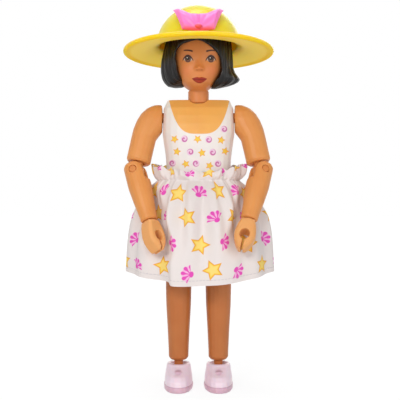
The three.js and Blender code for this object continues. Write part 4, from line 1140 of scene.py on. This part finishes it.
def push_of(points, ease):
    """How far each cloth point has to go in to be clear of the arms."""
    push = np.zeros(points.shape[:-1])
    way = inward(points)
    for centre, radius in arm_rests():
        away = points - centre
        along = (away * way).sum(-1)
        near = (away ** 2).sum(-1)
        reach = (radius + ease) ** 2
        out = np.sqrt(np.maximum(reach - near + along ** 2, 0)) - along
        push = np.maximum(push, np.where(near < reach, out, 0))
    return push


def softened(values, rounds):
    """Each number of a grid evened out with its neighbours."""
    for _ in range(rounds):
        for axis in (0, 1):
            pad = np.pad(values, [(1, 1) if axis == k else (0, 0) for k in (0, 1)], mode="edge")
            low, middle, high = (np.take(pad, np.arange(values.shape[axis]) + k, axis) for k in (0, 1, 2))
            values = (low + 2 * middle + high) / 4
    return values


def sheet_normals(grid, sign):
    """Outward normals of a grid of cloth points."""
    along = np.gradient(grid, axis=0)
    across = np.gradient(grid, axis=1)
    normal = np.cross(along, across) * sign
    return normal / np.linalg.norm(normal, axis=2, keepdims=True)


def cloth_faces(rows, columns, sign):
    """Outer side, inner side and the rim round them."""
    count = rows * columns
    outer = [face[::-1] if sign > 0 else face for face in grid_faces(rows, columns, False)]
    inner = [tuple(i + count for i in face[::-1]) for face in outer]
    border = list(range(columns))
    border += [i * columns + columns - 1 for i in range(1, rows)]
    border += [(rows - 1) * columns + j for j in range(columns - 2, -1, -1)]
    border += [i * columns for i in range(rows - 2, 0, -1)]
    if sign > 0:
        border = border[::-1]
    rim = [(b, a, a + count, b + count) for a, b in zip(border, border[1:] + border[:1])]
    return outer + inner + rim


def make_skirt(material):
    columns = 181
    falls = np.concatenate([np.linspace(-1, 0, 14), np.linspace(0, 1, 66)[1:]])
    rows = len(falls)
    turn = np.linspace(0, math.pi, columns)
    margin = turn[1] - turn[0]
    wide = np.concatenate([[-margin], turn, [math.pi + margin]])
    girth = np.hypot(HEM_HALF * np.cos(turn), HEM_DEPTH * np.sin(turn)) * PATTERN_SHARE * margin
    along = np.cumsum(girth) - girth[0]
    down = np.where(falls < 0, FALL_FLAT - RUFFLE_FLAT * falls, FALL_FLAT * (1 - falls))
    side_loops = 2 * 4 * (rows - 1) * (columns - 1)
    for side, sign in SIDES.items():
        grid = skirt_points(sign * wide - math.pi / 2, falls)
        normal = sheet_normals(grid, sign)[:, 1:-1]
        outer = grid[:, 1:-1]
        points = np.concatenate([outer, outer - normal * CLOTH_T]).reshape(-1, 3)
        made = piece(f"skirt_{side}", points, cloth_faces(rows, columns, sign), material)
        flat = np.stack(np.broadcast_arrays(sign * along[None, :], down[:, None]), -1).reshape(-1, 2)
        loops = lay_out(made, np.tile(flat, (2, 1)))
        normals = np.concatenate([normal, -normal]).reshape(-1, 3)[loops]
        normals[side_loops:] = 0  # the rim keeps the normals of its own faces
        made.data.normals_split_custom_set(normals.tolist())
        hang_skirt(made, side, points)


def hang_skirt(made, side, points):
    """Bakes the cloth's place into its mesh, works out a share for following the thigh in front, which is
    not used, and hides the CAD skirt.
    """
    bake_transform(made)
    x, y, z = np.abs(points[:, 0]), points[:, 1], points[:, 2]
    beside = smooth(x, *LAP_MIDDLE) * (1 - smooth(x, *LAP_SIDE))
    weight = beside * (1 - smooth(y, *LAP_BACK)) * smooth(-z, *LAP_TOP)
    (LAP_SHARE * weight).astype(np.float32)
    if side == "right":
        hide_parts("skirt")


def dress_nodes():
    """Rounds the edges of the CAD nodes that are seen as they are, and gives each its material."""
    limb = skin("skin", SKIN, SKIN_WARM).done()
    hand = skin("skin_hand", HAND, HAND_WARM).done()
    # the legs get a darker copy of the skin, painted shade for the shade under the skirt
    shaded_leg = skin("skin_leg_painted_shade", LEG_PAINTED_SHADE, LEG_PAINTED_SHADE_WARM).done()
    pin = skin("skin_pin", PIN, PIN_WARM).done()
    inner = inner_material()
    torso = torso_material()
    shoe = shoe_material()
    looks = {"torso_front": torso, "torso_back": torso, "neck_pin": inner, "hip_axle": inner}
    side_looks = {
        "upper_arm": limb, "elbow_knuckle": limb, "forearm": limb, "hand": hand,
        "thigh": shaded_leg, "knee_knuckle": shaded_leg, "shin": shaded_leg,
        "shoulder_pin": pin, "elbow_pin": pin, "knee_pin": pin, "shoe": shoe,
    }
    for side in SIDES:
        looks.update({f"{side}_{part}": look for part, look in side_looks.items()})
    for name, look in looks.items():
        node = frame["nodes"][name]
        fine = "elbow" in name or "forearm" in name
        mould(node, FINE_VOXEL if fine else VOXEL, ROUNDS)
        show(node, look)
    show(frame["nodes"]["waist_elastic"], elastic_material())


def show(node, look):
    """Gives a CAD node its material and leaves its mesh as it is."""
    if not node.material_slots:
        node.data.materials.append(look)
    for slot in node.material_slots:
        slot.link = "OBJECT"
        slot.material = look


def make_stage():
    """White floor that keeps a soft shadow near the doll."""
    floor = bpy.data.meshes.new("floor")
    turns = ((-1, -1), (1, -1), (1, 1), (-1, 1))
    floor.from_pydata([(x * FLOOR_HALF, y * FLOOR_HALF, 0) for x, y in turns], [], [(0, 1, 2, 3)])
    ground = add_object("floor", floor)
    surface = Surface("floor", FLOOR, roughness=0.9)
    surface.mottle(size=60, amount=0.2, colour=FLOOR_SHADE)
    x, y, _ = surface.axes(scale=1.0)
    away = x.length(y).step(*SHADOW_ZONE)
    material = surface.done()
    tree = surface.tree
    glow = tree.nodes.new("ShaderNodeEmission")
    glow.inputs["Strength"].default_value = FLOOR_GLOW
    mix = tree.nodes.new("ShaderNodeMixShader")
    share = seen_directly(tree) * (away * (1 - GLOW_NEAR) + GLOW_NEAR)
    tree.links.new(share.socket, mix.inputs[0])
    tree.links.new(surface.shader.outputs[0], mix.inputs[1])
    tree.links.new(glow.outputs[0], mix.inputs[2])
    tree.links.new(mix.outputs[0], tree.nodes["Material Output"].inputs["Surface"])
    floor.materials.append(material)


def seen_directly(tree):
    """1 where the camera looks, straight or by way of a shiny or clear surface."""
    path = tree.nodes.new("ShaderNodeLightPath")
    rays = [Field(tree, path.outputs[f"Is {kind} Ray"]) for kind in ("Camera", "Glossy", "Transmission")]
    return rays[0].most(rays[1]).most(rays[2])


def make_world():
    """White where it is looked at, and a weaker light on the doll."""
    world = bpy.data.worlds.new("studio")
    bpy.context.scene.world = world
    world.use_nodes = True
    tree = world.node_tree
    strength = seen_directly(tree) * (1 - WORLD_LIGHT) + WORLD_LIGHT
    tree.links.new(strength.socket, tree.nodes["Background"].inputs["Strength"])
    tree.nodes["Background"].inputs["Color"].default_value = (1, 1, 1, 1)


def make_lamp(name, place, size, power):
    """Round lamp that points at the doll."""
    lamp = bpy.data.lights.new(name, "AREA")
    lamp.shape = "DISK"
    lamp.size = size
    lamp.energy = power
    made = add_object(name, lamp)
    made.location = place
    away = np.array(place) - np.array(LAMP_AIM)
    flat = math.hypot(away[0], away[1])
    made.rotation_euler = (math.atan2(flat, away[2]), 0, math.atan2(away[0], -away[1]))


def make_camera():
    camera = bpy.data.cameras.new("camera")
    camera.sensor_width = SENSOR
    camera.lens = SENSOR * FOCAL_PX / PHOTO_PX
    camera.clip_start = 0.01
    made = add_object("camera", camera)
    made.location = [value * MM for value in CAMERA_MM]
    made.rotation_euler = (math.pi / 2, 0, 0)
    bpy.context.scene.camera = made


make_camera()
dress_nodes()
make_head(face_material())
make_hair(hair_material())
make_hat(hat_material())
make_bow(bow_material())
make_skirt(cloth_material())
make_stage()
make_world()
for lamp_name, (lamp_place, lamp_size, lamp_power) in LAMPS.items():
    make_lamp(lamp_name, lamp_place, lamp_size, lamp_power)
bpy.context.scene.view_settings.view_transform = "Standard"
